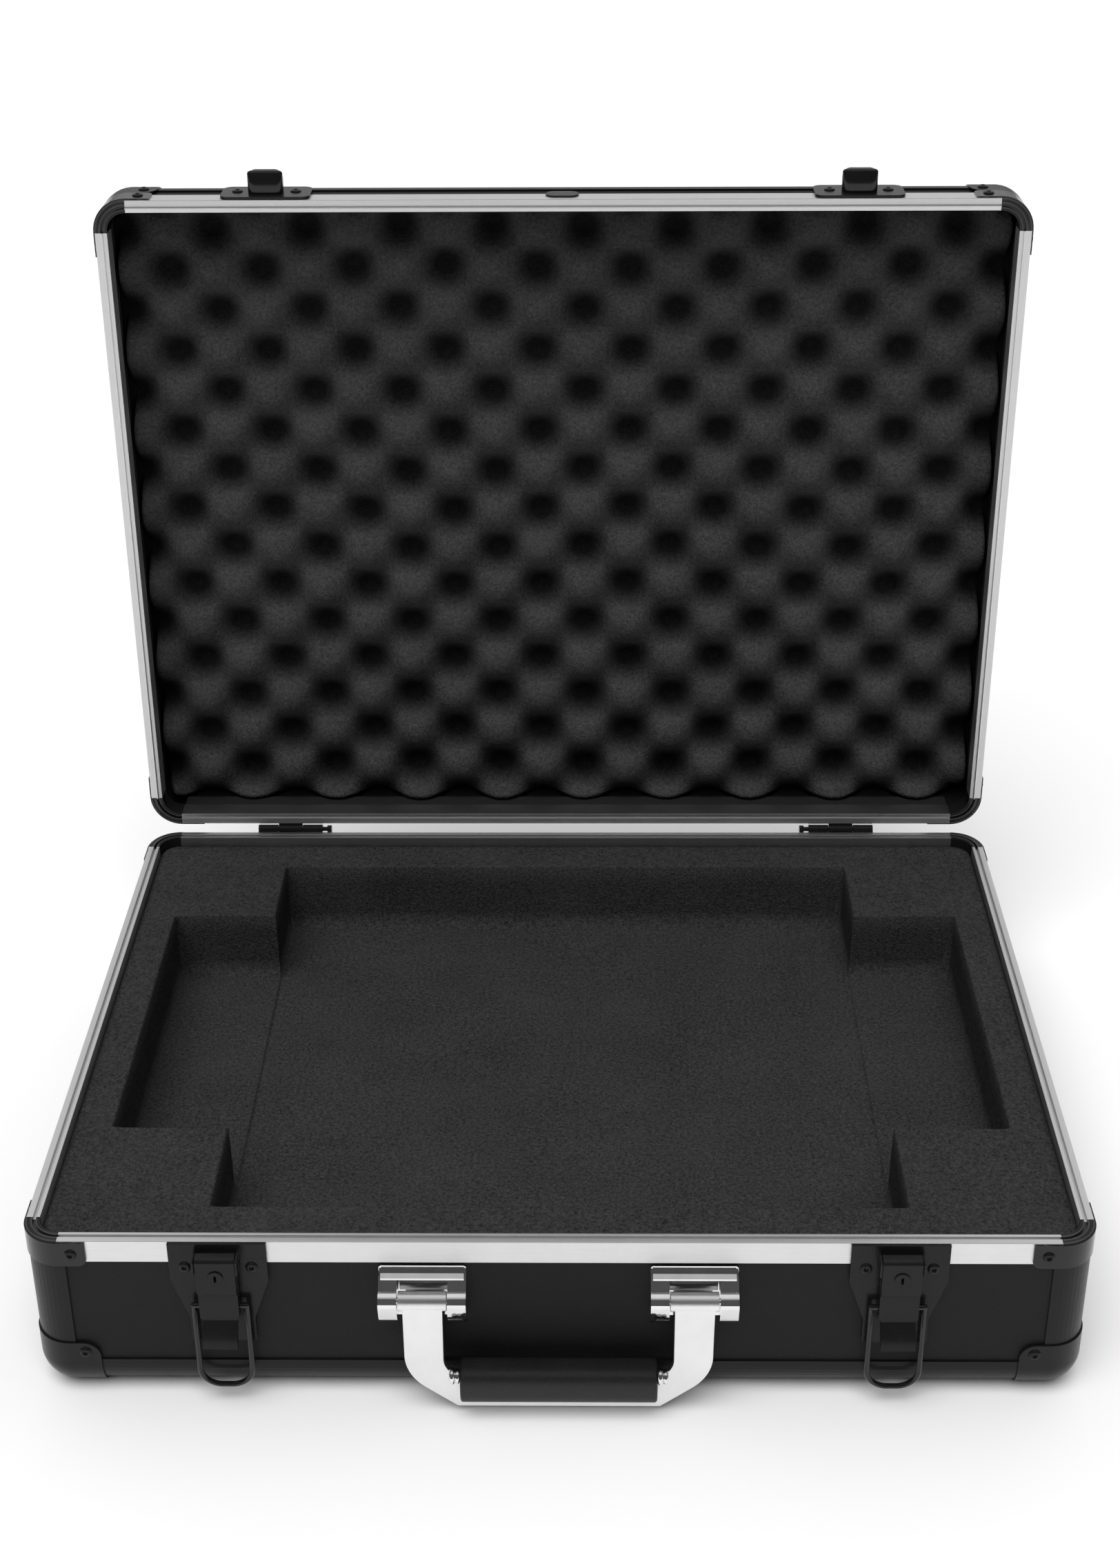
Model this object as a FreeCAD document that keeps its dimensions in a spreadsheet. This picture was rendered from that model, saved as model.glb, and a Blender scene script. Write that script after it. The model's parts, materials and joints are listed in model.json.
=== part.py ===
import FreeCAD, Part
import os
import re
import Sketcher
from FreeCAD import Placement, Rotation, Vector

# Aluminium attache case, millimetres. X runs along the width, Y from the front
# (latch side) to the back (hinge side), Z up. The origin is under the middle of
# the base, on the surface that the case stands on. The lid stands open.

# the round with which a foam's edge stays 0.2 clear of the strips' curved wall
CLEAR_OF_STRIPS = ("=(1.414 * (corner_radius - rim_skin - panel_wall - foam_gap) - corner_radius"
                   " + edge_wall) / 0.414 + 0.2")

SIZES = [
    # alias, value or formula, what it is
    ("case_width", 490, "across the faces of the left and right rails"),
    ("case_depth", 370, "across the faces of the front and back rails"),
    ("base_height", 91.5, "from the surface the case stands on to the base's mating plane"),
    ("lid_height", 42.5, "from the lid's mating plane to its outer face"),
    ("lid_angle", 91, "how far the lid stands open"),
    ("mate_gap", 0.3, "between the two mating planes when the lid is shut"),
    ("corner_radius", 17, "upright corners and bottom edges"),
    ("panel_wall", 4, "side, bottom and top panels"),
    ("rim_skin", 1, "outer skirt of a rail, over the panel"),
    ("rim_inner", 1.5, "inner skirt of a rail"),
    ("rim_face", 12, "height of a rail's outer face"),
    ("rim_web", 2.4, "top of a rail"),
    ("groove_inset", 3.2, "from a rail's outer face to its groove"),
    ("groove_wide", 1.5, "groove in the base's rails"),
    ("groove_deep", 1.5, "groove in the base's rails"),
    ("tongue_wide", 0.7, "tongue on the lid's rails"),
    ("tongue_tall", 1.2, "tongue on the lid's rails"),
    ("edge_reach", "=corner_radius + 2.8", "reach of an edge strip and a post from the corner line"),
    ("edge_wall", 3, "curved wall of an edge strip and a post"),
    ("cap_skin", 0.8, "pressed corner pieces, which stand proud by this much"),
    ("cap_reach", 31, "reach of a ball corner along each edge"),
    ("cap_round", 8, "rounding of a ball corner's free corners"),
    ("tab_reach", 30, "reach of a rim corner's tabs from the corner line"),
    ("tab_height", 14, "height of a rim corner's tabs"),
    ("tab_round", 4, "rounding of a rim corner's tabs"),
    ("tab_drop", 0.7, "a rim corner's tabs stop this far under the mating plane"),
    ("foam_gap", 0.4, "around both foams"),
    ("foam_round", CLEAR_OF_STRIPS, "both foams' edges along the panels"),
    ("foam_sink", 5, "the base foam's top under the mating plane"),
    ("bay_width", 325, "seat for the device"),
    ("bay_depth", 307, "seat for the device"),
    ("bay_sink", 42, "depth of the device's seat"),
    ("pocket_reach", 219, "outer side of a pocket from the middle"),
    ("pocket_front", 93.5, "front side of a pocket from the middle"),
    ("pocket_back", 100, "back side of a pocket from the middle"),
    ("pocket_sink", 40, "depth of a pocket"),
    ("cut_round", 2, "corners of the foam's cut-outs"),
    ("lid_foam_sink", 18, "the lid foam's peaks under the lid's mating plane"),
    ("hinge_place", 163.5, "hinge middle from the case's middle"),
    ("hinge_width", 38, "hinge leaves"),
    ("hinge_leaf", 1.2, "thickness of a hinge leaf"),
    ("hinge_tall", 24, "height of a hinge leaf"),
    ("hinge_offset", 3.6, "hinge axis behind the rails' faces"),
    ("hinge_clear", 2.2, "a leaf's edge from the axis"),
    ("knuckle_radius", 2.6, "hinge knuckles"),
    ("knuckle_middle", 14, "the lid leaf's knuckle"),
    ("knuckle_gap", 0.3, "between knuckles"),
    ("pin_radius", 1.3, "hinge pin"),
    ("pin_play", 0.05, "radial clearance of every pin in its hole"),
    ("latch_place", 155, "latch middle from the case's middle"),
    ("latch_width", 45, "latch plate"),
    ("latch_foot", 30, "latch plate's width at its foot"),
    ("latch_wall", 1.5, "latch and strike plates"),
    ("ear_wall", 1, "latch plate's ears, inside the bail's legs"),
    ("latch_top", "=base_height - 0.3", "latch plate's top edge"),
    ("latch_taper", "=base_height - 21.5", "height where the latch plate starts to narrow"),
    ("latch_bottom", "=base_height - 57.5", "latch plate's foot"),
    ("lever_width", 18, "latch lever"),
    ("lever_gap", 0.35, "lever to each ear"),
    ("lever_pivot_out", 8, "lever pivot in front of the rail's face"),
    ("lever_pivot_up", "=base_height - 6", "lever pivot"),
    ("bail_pivot_out", 5, "bail pivot in front of the rail's face"),
    ("bail_pivot_up", "=base_height - 33.1", "bail pivot"),
    ("bail_reach", 48.1, "bail pivot to the middle of the bail's far wire"),
    ("bail_half", 12.2, "bail's leg from the latch's middle"),
    ("bail_round", 10, "bail's corners"),
    ("wire_radius", 1.3, "bail wire"),
    ("plug_radius", 3.5, "lock plug"),
    ("plug_up", "=base_height - 12.3", "lock plug's axis"),
    ("seat_slack", 2.6, "hook seat below the raised bail"),
    ("strike_width", 47, "strike plate on the lid"),
    ("strike_tall", 23, "strike plate on the lid"),
    ("hook_width", 18.5, "strike's hook"),
    ("hook_out", 13.4, "strike's hook in front of the rail's face"),
    ("hook_wall", 1.6, "hook's tongue"),
    ("hook_lip", 0.7, "hook's lip over its seat"),
    ("hook_lip_wall", 1.5, "hook's lip from back to front"),
    ("hook_round", 4.5, "hook's outer corners"),
    ("bracket_place", 62, "handle bracket middle from the case's middle"),
    ("bracket_width", 40, "handle bracket"),
    ("bracket_low", "=base_height - 42", "handle bracket's foot"),
    ("bracket_high", "=base_height - 13", "handle bracket's top edge"),
    ("bracket_wall", 1.8, "handle bracket's plate"),
    ("lug_width", 8.5, "handle bracket's lugs"),
    ("handle_pivot_out", 8, "handle pivot in front of the rail's face"),
    ("handle_pivot_up", "=base_height - 27.6", "handle pivot"),
    ("handle_pin", 1.6, "handle pin's radius"),
    ("handle_barrel", 4.5, "barrel at the top of each handle arm, radius"),
    ("handle_drop", 60.1, "handle pivot to the handle's far edge"),
    ("arm_width", 18, "handle arms"),
    ("arm_wall", 3.5, "handle arms"),
    ("arm_out", 8.5, "back of the handle arms in front of the rail's face"),
    ("arm_round", 24, "handle's outer corners, above the slopes"),
    ("slope_angle", 38, "slopes between the handle's corners and its bar, in degrees"),
    ("inner_round", 10, "handle's inner corners"),
    ("bar_width", 18, "handle's bar"),
    ("grip_length", 91, "handle grip"),
    ("grip_radius", 9.4, "handle grip"),
    ("grip_out", 11, "grip's middle in front of the rail's face"),
    ("grip_rise", 15.3, "grip's middle from the handle's far edge"),
    ("grip_slack", 0.4, "grip's channel over the bar's corners"),
    ("ferrule_radius", 2.6, "ferrules at the grip's ends"),
    ("rivet_radius", 2.9, "rivet heads"),
    ("rivet_tall", 1.1, "rivet heads"),
    ("badge_width", 17.4, "blank plate on the lid's front"),
    ("badge_tall", 10, "blank plate on the lid's front"),
    ("badge_wall", 1, "blank plate on the lid's front"),
]

SIDES = {"left": -1, "right": 1}
ENDS = {"front": -1, "back": 1}

doc = FreeCAD.newDocument("AttacheCase")
sheet = doc.addObject("Spreadsheet::Sheet", "Sizes")
for line, (alias, value, meaning) in enumerate(SIZES, start=1):
    sheet.set(f"A{line}", alias)
    sheet.set(f"B{line}", str(value))
    sheet.set(f"C{line}", meaning)
    sheet.setAlias(f"B{line}", alias)
doc.recompute()

nodes = []


# ---- expressions on the sheet ------------------------------------------------

def bound(text):
    """The expression with each alias read from the sheet."""
    return re.sub(r"[a-z]+(?:_[a-z]+)+", lambda word: "Sizes." + word.group(0), text)


def number(text):
    """The expression's present value."""
    return float(sheet.evalExpression(bound(text)))


def place(thing, **coordinates):
    """Bind an object's position to the sheet, one expression for each axis given."""
    for axis, text in coordinates.items():
        thing.setExpression(f".Placement.Base.{axis}", bound(text))


def across(sign, inset):
    """X of a point `inset` inside the face of the left (-1) or right (1) rail."""
    return f"{sign} * (case_width / 2 - ({inset}))"


def along(sign, inset):
    """Y of a point `inset` inside the face of the front (-1) or back (1) rail."""
    return f"{sign} * (case_depth / 2 - ({inset}))"


def ahead(out):
    """Y of a point `out` in front of the front rail's face."""
    return f"-(case_depth / 2 + ({out}))"


RIM_WALL = "(rim_skin + panel_wall + rim_inner)"
TONGUE_INSET = "(groove_inset + (groove_wide - tongue_wide) / 2)"
HINGE_UP = "(base_height + mate_gap / 2)"
HINGE_BACK = "(case_depth / 2 + hinge_offset)"
BAIL_TOP = "(bail_pivot_up + bail_reach)"
HOOK_SEAT = f"({BAIL_TOP} - wire_radius - seat_slack)"


class Half:
    """One half of the shell, whose levels are counted from its mating plane outwards."""

    def __init__(self, name, sign, face, depth):
        self.name = name
        self.sign = sign
        self.face = face
        self.depth = depth

    def level(self, away):
        return f"{self.face} {self.sign} ({away})"

    def span(self, near, far):
        """The low and the high plane between two levels."""
        levels = (self.level(near), self.level(far))
        return levels if self.sign == "+" else levels[::-1]


BASE = Half("base", "-", "base_height", "(base_height - cap_skin)")
LID = Half("lid", "+", "(base_height + mate_gap)", "(lid_height - cap_skin)")


# ---- building blocks ----------------------------------------------------------

def box(name, x, y, z):
    """A block between three pairs of planes."""
    block = doc.addObject("Part::Box", name)
    for axis, side, (low, high) in zip("xyz", ("Length", "Width", "Height"), (x, y, z)):
        block.setExpression(side, bound(f"({high}) - ({low})"))
        block.setExpression(f".Placement.Base.{axis}", bound(low))
    return block


TURNS = {
    "x": Rotation(Vector(0, 1, 0), 90),
    "-y": Rotation(Vector(1, 0, 0), 90),
    "z": Rotation(),
    "-z": Rotation(Vector(1, 0, 0), 180),
    "y": Rotation(Vector(1, 0, 0), -90),
    "-x": Rotation(Vector(0, 1, 0), -90),
}


def rod(name, direction, start, radius, length):
    """A cylinder that leaves `start` in a direction."""
    cylinder = doc.addObject("Part::Cylinder", name)
    cylinder.Placement = Placement(Vector(), TURNS[direction])
    place(cylinder, x=start[0], y=start[1], z=start[2])
    cylinder.setExpression("Radius", bound(radius))
    cylinder.setExpression("Height", bound(length))
    return cylinder


def fuse(name, parts):
    joined = doc.addObject("Part::MultiFuse", name)
    joined.Shapes = parts
    joined.Refine = True
    return joined


def cut(name, base, tool):
    result = doc.addObject("Part::Cut", name)
    result.Base = base
    result.Tool = tool
    return result


def group(name, parts):
    """Separate solids that share one node."""
    compound = doc.addObject("Part::Compound", name)
    compound.Links = parts
    return compound


def node(name, thing):
    """Register a finished sub-part under its node name."""
    thing.Label = name
    nodes.append(thing)
    return thing


def lid_node(name, thing):
    """Register a sub-part drawn on the shut lid and swing it open about the hinge."""
    thing.Placement = Placement(Vector(), Rotation(Vector(1, 0, 0), -number("lid_angle")))
    thing.setExpression(".Placement.Rotation.Angle", bound("-lid_angle"))
    place(thing,
          y=f"{HINGE_BACK} * (1 - cos(lid_angle)) - {HINGE_UP} * sin(lid_angle)",
          z=f"{HINGE_UP} * (1 - cos(lid_angle)) + {HINGE_BACK} * sin(lid_angle)")
    return node(name, thing)


def shell_node(half, name, thing):
    return lid_node(name, thing) if half is LID else node(name, thing)


def new_body(name):
    return doc.addObject("PartDesign::Body", name)


def pin_point(sketch, geometry, point, axis, text):
    """Fix one coordinate of a sketch point to an expression."""
    rule = Sketcher.Constraint("Distance" + axis, -1, 1, geometry, point, number(text))
    index = sketch.addConstraint(rule)
    sketch.setExpression(f"Constraints[{index}]", bound(text))


def draw(sketch, outline):
    """Draw a closed outline of (x, y) corners; (x, y, cx, cy) is reached by an arc about (cx, cy)."""
    points = [Vector(number(item[0]), number(item[1]), 0) for item in outline]
    count = len(outline)
    starts = []
    for index, item in enumerate(outline):
        first, last = points[index - 1], points[index]
        if len(item) == 2:
            sketch.addGeometry(Part.LineSegment(first, last))
            starts.append((1, 2))
            continue
        centre = Vector(number(item[2]), number(item[3]), 0)
        circle = Part.Circle(centre, Vector(0, 0, 1), first.distanceToPoint(centre))
        turn = (first - centre).cross(last - centre).z
        ends = (first, last) if turn > 0 else (last, first)
        sketch.addGeometry(Part.ArcOfCircle(circle, *[circle.parameter(end) for end in ends]))
        starts.append((1, 2) if turn > 0 else (2, 1))
    for index in range(count):
        after = (index + 1) % count
        sketch.addConstraint(
            Sketcher.Constraint("Coincident", index, starts[index][1], after, starts[after][0]))
    for index, item in enumerate(outline):
        pin_point(sketch, index, starts[index][1], "X", item[0])
        pin_point(sketch, index, starts[index][1], "Y", item[1])
        if len(item) == 4:
            chord = points[index] - points[index - 1]
            axis = "X" if abs(chord.y) > abs(chord.x) else "Y"
            pin_point(sketch, index, 3, axis, item[2] if axis == "X" else item[3])


def draw_circle(sketch, x, y, radius):
    circle = Part.Circle(Vector(number(x), number(y), 0), Vector(0, 0, 1), number(radius))
    sketch.addGeometry(circle)
    pin_point(sketch, 0, 3, "X", x)
    pin_point(sketch, 0, 3, "Y", y)
    index = sketch.addConstraint(Sketcher.Constraint("Radius", 0, number(radius)))
    sketch.setExpression(f"Constraints[{index}]", bound(radius))


def new_sketch(body, plane, height):
    """A sketch parallel to one of the body's origin planes, `height` along its normal."""
    sketch = body.newObject("Sketcher::SketchObject", body.Name + "_sketch")
    origin_plane = [item for item in body.Origin.OriginFeatures if item.Role == plane + "_Plane"][0]
    sketch.AttachmentSupport = [(origin_plane, "")]
    sketch.MapMode = "FlatFace"
    sketch.setExpression(".AttachmentOffset.Base.z", bound(height))
    return sketch


def pad(body, plane, outline, start, length):
    """Grow a closed outline from `start` along the plane's normal (XY: +Z, YZ: +X, XZ: -Y)."""
    sketch = new_sketch(body, plane, start)
    draw(sketch, outline)
    feature = body.newObject("PartDesign::Pad", body.Name + "_pad")
    feature.Profile = sketch
    feature.setExpression("Length", bound(length))
    return feature


def drill(body, plane, centre, radius, start, length):
    """A round hole that starts at `start` and runs along the plane's normal."""
    sketch = new_sketch(body, plane, start)
    draw_circle(sketch, centre[0], centre[1], radius)
    feature = body.newObject("PartDesign::Pocket", body.Name + "_hole")
    feature.Profile = sketch
    feature.Reversed = True
    feature.setExpression("Length", bound(length))
    return feature


def round_edges(body, radius, test):
    """Round the edges of the body's last feature that pass a test on their bounding boxes."""
    doc.recompute()
    last = body.Tip
    names = [f"Edge{index}" for index, edge in enumerate(last.Shape.Edges, start=1)
             if test(edge.BoundBox, last.Shape.BoundBox)]
    feature = body.newObject("PartDesign::Fillet", body.Name + "_round")
    feature.Base = (last, names)
    feature.setExpression("Radius", bound(radius))
    return feature


def near(first, second):
    return abs(first - second) < 1e-4


def rounded_rectangle(low_x, high_x, low_y, high_y, radius):
    """The outline of a rectangle with rounded corners."""
    inner = [f"({low_x}) + {radius}", f"({high_x}) - {radius}",
             f"({low_y}) + {radius}", f"({high_y}) - {radius}"]
    return [
        (inner[1], low_y), (high_x, inner[2], inner[1], inner[2]),
        (high_x, inner[3]), (inner[1], high_y, inner[1], inner[3]),
        (inner[0], high_y), (low_x, inner[3], inner[0], inner[3]),
        (low_x, inner[2]), (inner[0], low_y, inner[0], inner[2]),
    ]


def rivet(name, direction, start):
    """A domed head: a slice of a ball whose flat side lies on `start`."""
    ball = "((rivet_radius ^ 2 + rivet_tall ^ 2) / (2 * rivet_tall))"
    head = doc.addObject("Part::Sphere", name)
    head.setExpression("Radius", bound(ball))
    head.setExpression("Angle1", bound(f"asin(1 - rivet_tall / {ball})"))
    head.Angle2 = 90
    head.Placement = Placement(Vector(), TURNS[direction])
    shift = f"({ball} - rivet_tall)"
    centre = dict(zip("xyz", start))
    axis = direction[-1]
    centre[axis] = f"({centre[axis]}) {'+' if direction[0] == '-' else '-'} {shift}"
    place(head, **centre)
    return head


# ---- shell -------------------------------------------------------------------

def rail_outline(half, beside):
    """A rail's section: top, skirts on both sides of the panel, and a groove or a tongue."""
    if half is BASE:
        lock = [("groove_inset", "0"), ("groove_inset", "groove_deep"),
                ("groove_inset + groove_wide", "groove_deep"), ("groove_inset + groove_wide", "0")]
    else:
        lock = [(TONGUE_INSET, "0"), (TONGUE_INSET, "-tongue_tall"),
                (f"{TONGUE_INSET} + tongue_wide", "-tongue_tall"),
                (f"{TONGUE_INSET} + tongue_wide", "0")]
    section = [("0", "0")] + lock + [
        (RIM_WALL, "0"), (RIM_WALL, "rim_face"),
        ("rim_skin + panel_wall", "rim_face"), ("rim_skin + panel_wall", "rim_web"),
        ("rim_skin", "rim_web"), ("rim_skin", "rim_face"), ("0", "rim_face")]
    return [(beside(inset), half.level(away)) for inset, away in section]


def straight_run(size):
    """Start and length of a piece between two corners' curves."""
    return f"-({size} / 2 - corner_radius)", f"{size} - 2 * corner_radius"


def build_rails(half):
    for end, sign in ENDS.items():
        body = new_body(f"{half.name}_{end}_rail")
        outline = rail_outline(half, lambda inset: along(sign, inset))
        pad(body, "YZ", outline, *straight_run("case_width"))
        shell_node(half, f"{half.name}_{end}_rail", body)
    for side, sign in SIDES.items():
        body = new_body(f"{half.name}_{side}_rail")
        outline = rail_outline(half, lambda inset: across(sign, inset))
        pad(body, "XZ", outline, *straight_run("case_depth"))
        shell_node(half, f"{half.name}_{side}_rail", body)


def build_board(half, name, x, y, z):
    """A flat panel. The lid's is wrapped in a group, whose own placement swings it open."""
    board = box(name + "_board", x, y, z)
    shell_node(half, name, group(name, [board]) if half is LID else board)


def build_panels(half):
    walls = half.span("rim_web", f"{half.depth} - corner_radius")
    faces = ("rim_skin", "rim_skin + panel_wall")
    run_x = (across(-1, "corner_radius"), across(1, "corner_radius"))
    run_y = (along(-1, "corner_radius"), along(1, "corner_radius"))
    for end, sign in ENDS.items():
        planes = tuple(along(sign, inset) for inset in faces[::-sign])
        build_board(half, f"{half.name}_{end}_panel", run_x, planes, walls)
    for side, sign in SIDES.items():
        planes = tuple(across(sign, inset) for inset in faces[::-sign])
        build_board(half, f"{half.name}_{side}_panel", planes, run_y, walls)
    floor = half.span(f"{half.depth} - rim_skin - panel_wall", f"{half.depth} - rim_skin")
    build_board(half, half.name + ("_bottom_panel" if half is BASE else "_top_panel"),
                run_x, run_y, floor)


def strip_outline(first, second):
    """The section of an edge strip or post: a quarter ring with a thin flange at each end."""
    reach, radius, skin, wall = "edge_reach", "corner_radius", "rim_skin", "edge_wall"
    section = [("0", reach), ("0", radius), (radius, "0", radius, radius), (reach, "0"),
               (reach, skin), (radius, skin), (radius, wall), (wall, radius, radius, radius),
               (skin, radius), (skin, reach)]
    return [tuple(mapped for pair in zip(item[0::2], item[1::2])
                  for mapped in (first(pair[0]), second(pair[1]))) for item in section]


def build_edges(half):
    def upright(away):
        return half.level(f"{half.depth} - ({away})")

    strips = []
    for end, sign in ENDS.items():
        body = new_body(f"{half.name}_{end}_edge")
        outline = strip_outline(lambda inset: along(sign, inset), upright)
        pad(body, "YZ", outline, *straight_run("case_width"))
        strips.append(body)
    for side, sign in SIDES.items():
        body = new_body(f"{half.name}_{side}_edge")
        outline = strip_outline(lambda inset: across(sign, inset), upright)
        pad(body, "XZ", outline, *straight_run("case_depth"))
        strips.append(body)
    name = half.name + "_edge_strips"
    shell_node(half, name, group(name, strips))


def corner_ring(side, end, outer, inner):
    """A quarter ring in plan about a corner's centre, between two radii."""
    def spot(inset_x, inset_y):
        return across(side, inset_x), along(end, inset_y)

    middle = spot("corner_radius", "corner_radius")
    first_out = spot(f"corner_radius - ({outer})", "corner_radius")
    last_out = spot("corner_radius", f"corner_radius - ({outer})")
    last_in = spot("corner_radius", f"corner_radius - ({inner})")
    first_in = spot(f"corner_radius - ({inner})", "corner_radius")
    return [first_out, last_out + middle, last_in, first_in + middle]


def tab_ring(side, end):
    """The plan of a rim corner's thin outer skin with its two straight tabs."""
    def spot(inset_x, inset_y):
        return across(side, inset_x), along(end, inset_y)

    middle = spot("corner_radius", "corner_radius")
    return [
        spot("0", "tab_reach"), spot("0", "corner_radius"),
        spot("corner_radius", "0") + middle, spot("tab_reach", "0"),
        spot("tab_reach", "-cap_skin"), spot("corner_radius", "-cap_skin"),
        spot("-cap_skin", "corner_radius") + middle, spot("-cap_skin", "tab_reach"),
    ]


def tab_tips(half):
    """A test for the short edges at the tabs' ends, away from the mating plane."""
    far = number(half.level("tab_height"))

    def test(edge, whole):
        short = edge.DiagonalLength < 1.01 * number("cap_skin")
        return short and near(edge.ZMin, far) and near(edge.ZMax, far) and (
            near(abs(edge.XMin + edge.XMax) / 2, number("case_width / 2 - tab_reach"))
            or near(abs(edge.YMin + edge.YMax) / 2, number("case_depth / 2 - tab_reach")))
    return test


def build_rim_corner(half, side, end, name):
    body = new_body(name)
    low, high = half.span("0", "rim_face")
    ring = corner_ring(side, end, "corner_radius", f"corner_radius - {RIM_WALL}")
    pad(body, "XY", ring, low, f"({high}) - ({low})")
    low, high = half.span("tab_drop", "tab_height")
    pad(body, "XY", tab_ring(side, end), low, f"({high}) - ({low})")
    round_edges(body, "tab_round", tab_tips(half))
    groove = new_sketch(body, "XY", half.level("0"))
    ring = corner_ring(side, end, "corner_radius - groove_inset",
                       "corner_radius - groove_inset - groove_wide")
    draw(groove, ring)
    pocket = body.newObject("PartDesign::Pocket", name + "_groove")
    pocket.Profile = groove
    pocket.Reversed = half is LID
    pocket.setExpression("Length", bound("groove_deep"))
    return body


def ball_block(half, side, end, name, proud, reach):
    """A block in one of the shell's outer corners, whose three outer edges meet in a ball."""
    body = new_body(name)
    block = body.newObject("PartDesign::AdditiveBox", name + "_block")
    top = "base_height + mate_gap + lid_height"
    tall = f"({reach})" if half is BASE else f"(lid_height - tab_height + ({reach}) - cap_reach)"
    wide = f"({reach} + ({proud}))"
    for size, text in (("Length", wide), ("Width", wide),
                       ("Height", f"{tall} - cap_skin + ({proud})")):
        block.setExpression(size, bound(text))
    place(block,
          x=across(side, f"-({proud})" if side < 0 else reach),
          y=along(end, f"-({proud})" if end < 0 else reach),
          z=f"cap_skin - ({proud})" if half is BASE else f"{top} - {tall}")
    doc.recompute()
    whole = block.Shape.BoundBox
    outer = (whole.XMin if side < 0 else whole.XMax, whole.YMin if end < 0 else whole.YMax,
             whole.ZMin if half is BASE else whole.ZMax)
    inner = (whole.XMin + whole.XMax - outer[0], whole.YMin + whole.YMax - outer[1],
             whole.ZMin + whole.ZMax - outer[2])
    round_edges(body, f"corner_radius + ({proud})", lambda edge, _: planes_through(edge, outer) == 2)
    return body, inner


def planes_through(item, corner):
    """How many of the three planes through `corner` hold the whole item."""
    return [near(item.XMin, corner[0]) and near(item.XMax, corner[0]),
            near(item.YMin, corner[1]) and near(item.YMax, corner[1]),
            near(item.ZMin, corner[2]) and near(item.ZMax, corner[2])].count(True)


def build_ball_corner(half, side, end, name):
    """A pressed cap: a block with a ball-shaped corner, less the same block one skin smaller."""
    outer, free = ball_block(half, side, end, name + "_outer", "cap_skin", "cap_reach")
    round_edges(outer, "cap_round", lambda edge, _: planes_through(edge, free) == 2)
    inner, _ = ball_block(half, side, end, name + "_inner", "0", "cap_reach + 1")
    return cut(name, outer, inner)


def build_corners(half):
    rims = []
    balls = []
    posts = []
    for end, end_sign in ENDS.items():
        for side, side_sign in SIDES.items():
            where = f"{end}_{side}"
            rims.append(build_rim_corner(half, side_sign, end_sign, f"{half.name}_rim_corner_{where}"))
            balls.append(build_ball_corner(half, side_sign, end_sign, f"{half.name}_ball_corner_{where}"))
            if half is LID:
                continue
            post = new_body(f"corner_post_{where}")
            outline = strip_outline(lambda inset: across(side_sign, inset),
                                    lambda inset: along(end_sign, inset))
            low, high = half.span("rim_face", f"{half.depth} - edge_reach")
            pad(post, "XY", outline, low, f"({high}) - ({low})")
            posts.append(post)
    if half is BASE:
        for piece in rims + balls:
            node(piece.Name, piece)
        node("corner_posts", group("corner_posts", posts))
    else:
        lid_node("lid_rim_corners", group("lid_rim_corners", rims))
        lid_node("lid_ball_corners", group("lid_ball_corners", balls))


def shell_rivets(half):
    """Heads on the rim corners' tabs and on the ball corners' three faces."""
    heads = []
    tab_level = half.level("tab_height / 2 + 0.3")
    cap_level = half.level(f"{half.depth} - 25" if half is BASE else f"{half.depth} - 21")
    proud = "-cap_skin"
    for end in ENDS.values():
        for side in SIDES.values():
            out_x = "-x" if side < 0 else "x"
            out_y = "-y" if end < 0 else "y"
            for inset, level in (("tab_reach - 7", tab_level), ("cap_reach - 7", cap_level)):
                heads.append((out_y, (across(side, inset), along(end, proud), level)))
                heads.append((out_x, (across(side, proud), along(end, inset), level)))
    return [rivet(f"{half.name}_rivet_{index}", *head) for index, head in enumerate(heads)]


# ---- foams -------------------------------------------------------------------

def build_base_foam():
    """A block with a seat for the device and a pocket on each side of it."""
    body = new_body("base_foam")
    around = f"({RIM_WALL} + foam_gap)"
    floor = BASE.level(f"{BASE.depth} - rim_skin - panel_wall - foam_gap")
    top = BASE.level("foam_sink")
    outline = rounded_rectangle(across(-1, around), across(1, around), along(-1, around),
                                along(1, around), "(corner_radius - 6)")
    pad(body, "XY", outline, floor, f"({top}) - ({floor})")
    round_edges(body, "foam_round", lambda edge, block: near(edge.ZMin, block.ZMin)
                and near(edge.ZMax, block.ZMin))
    cuts = [("-bay_width / 2", "bay_width / 2", "-bay_depth / 2", "bay_depth / 2", "bay_sink")]
    for sign in SIDES.values():
        sides = ("bay_width / 2 - 3", "pocket_reach")
        low, high = sides if sign > 0 else sides[::-1]
        cuts.append((f"{sign} * ({low})", f"{sign} * ({high})", "-pocket_front", "pocket_back",
                     "pocket_sink"))
    for low_x, high_x, low_y, high_y, sink in cuts:
        sketch = new_sketch(body, "XY", top)
        draw(sketch, rounded_rectangle(low_x, high_x, low_y, high_y, "cut_round"))
        pocket = body.newObject("PartDesign::Pocket", "base_foam_cut")
        pocket.Profile = sketch
        pocket.setExpression("Length", bound(sink))
    node("base_foam", body)


def build_lid_foam():
    around = f"({RIM_WALL} + foam_gap)"
    body = new_body("lid_foam")
    outline = rounded_rectangle(across(-1, around), across(1, around), along(-1, around),
                                along(1, around), "(corner_radius - 6)")
    low, high = LID.span("lid_foam_sink", f"{LID.depth} - rim_skin - panel_wall - foam_gap")
    pad(body, "XY", outline, low, f"({high}) - ({low})")
    round_edges(body, "foam_round", lambda edge, block: near(edge.ZMin, block.ZMax)
                and near(edge.ZMax, block.ZMax))
    lid_node("lid_foam", body)


# ---- hinges ------------------------------------------------------------------

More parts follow.
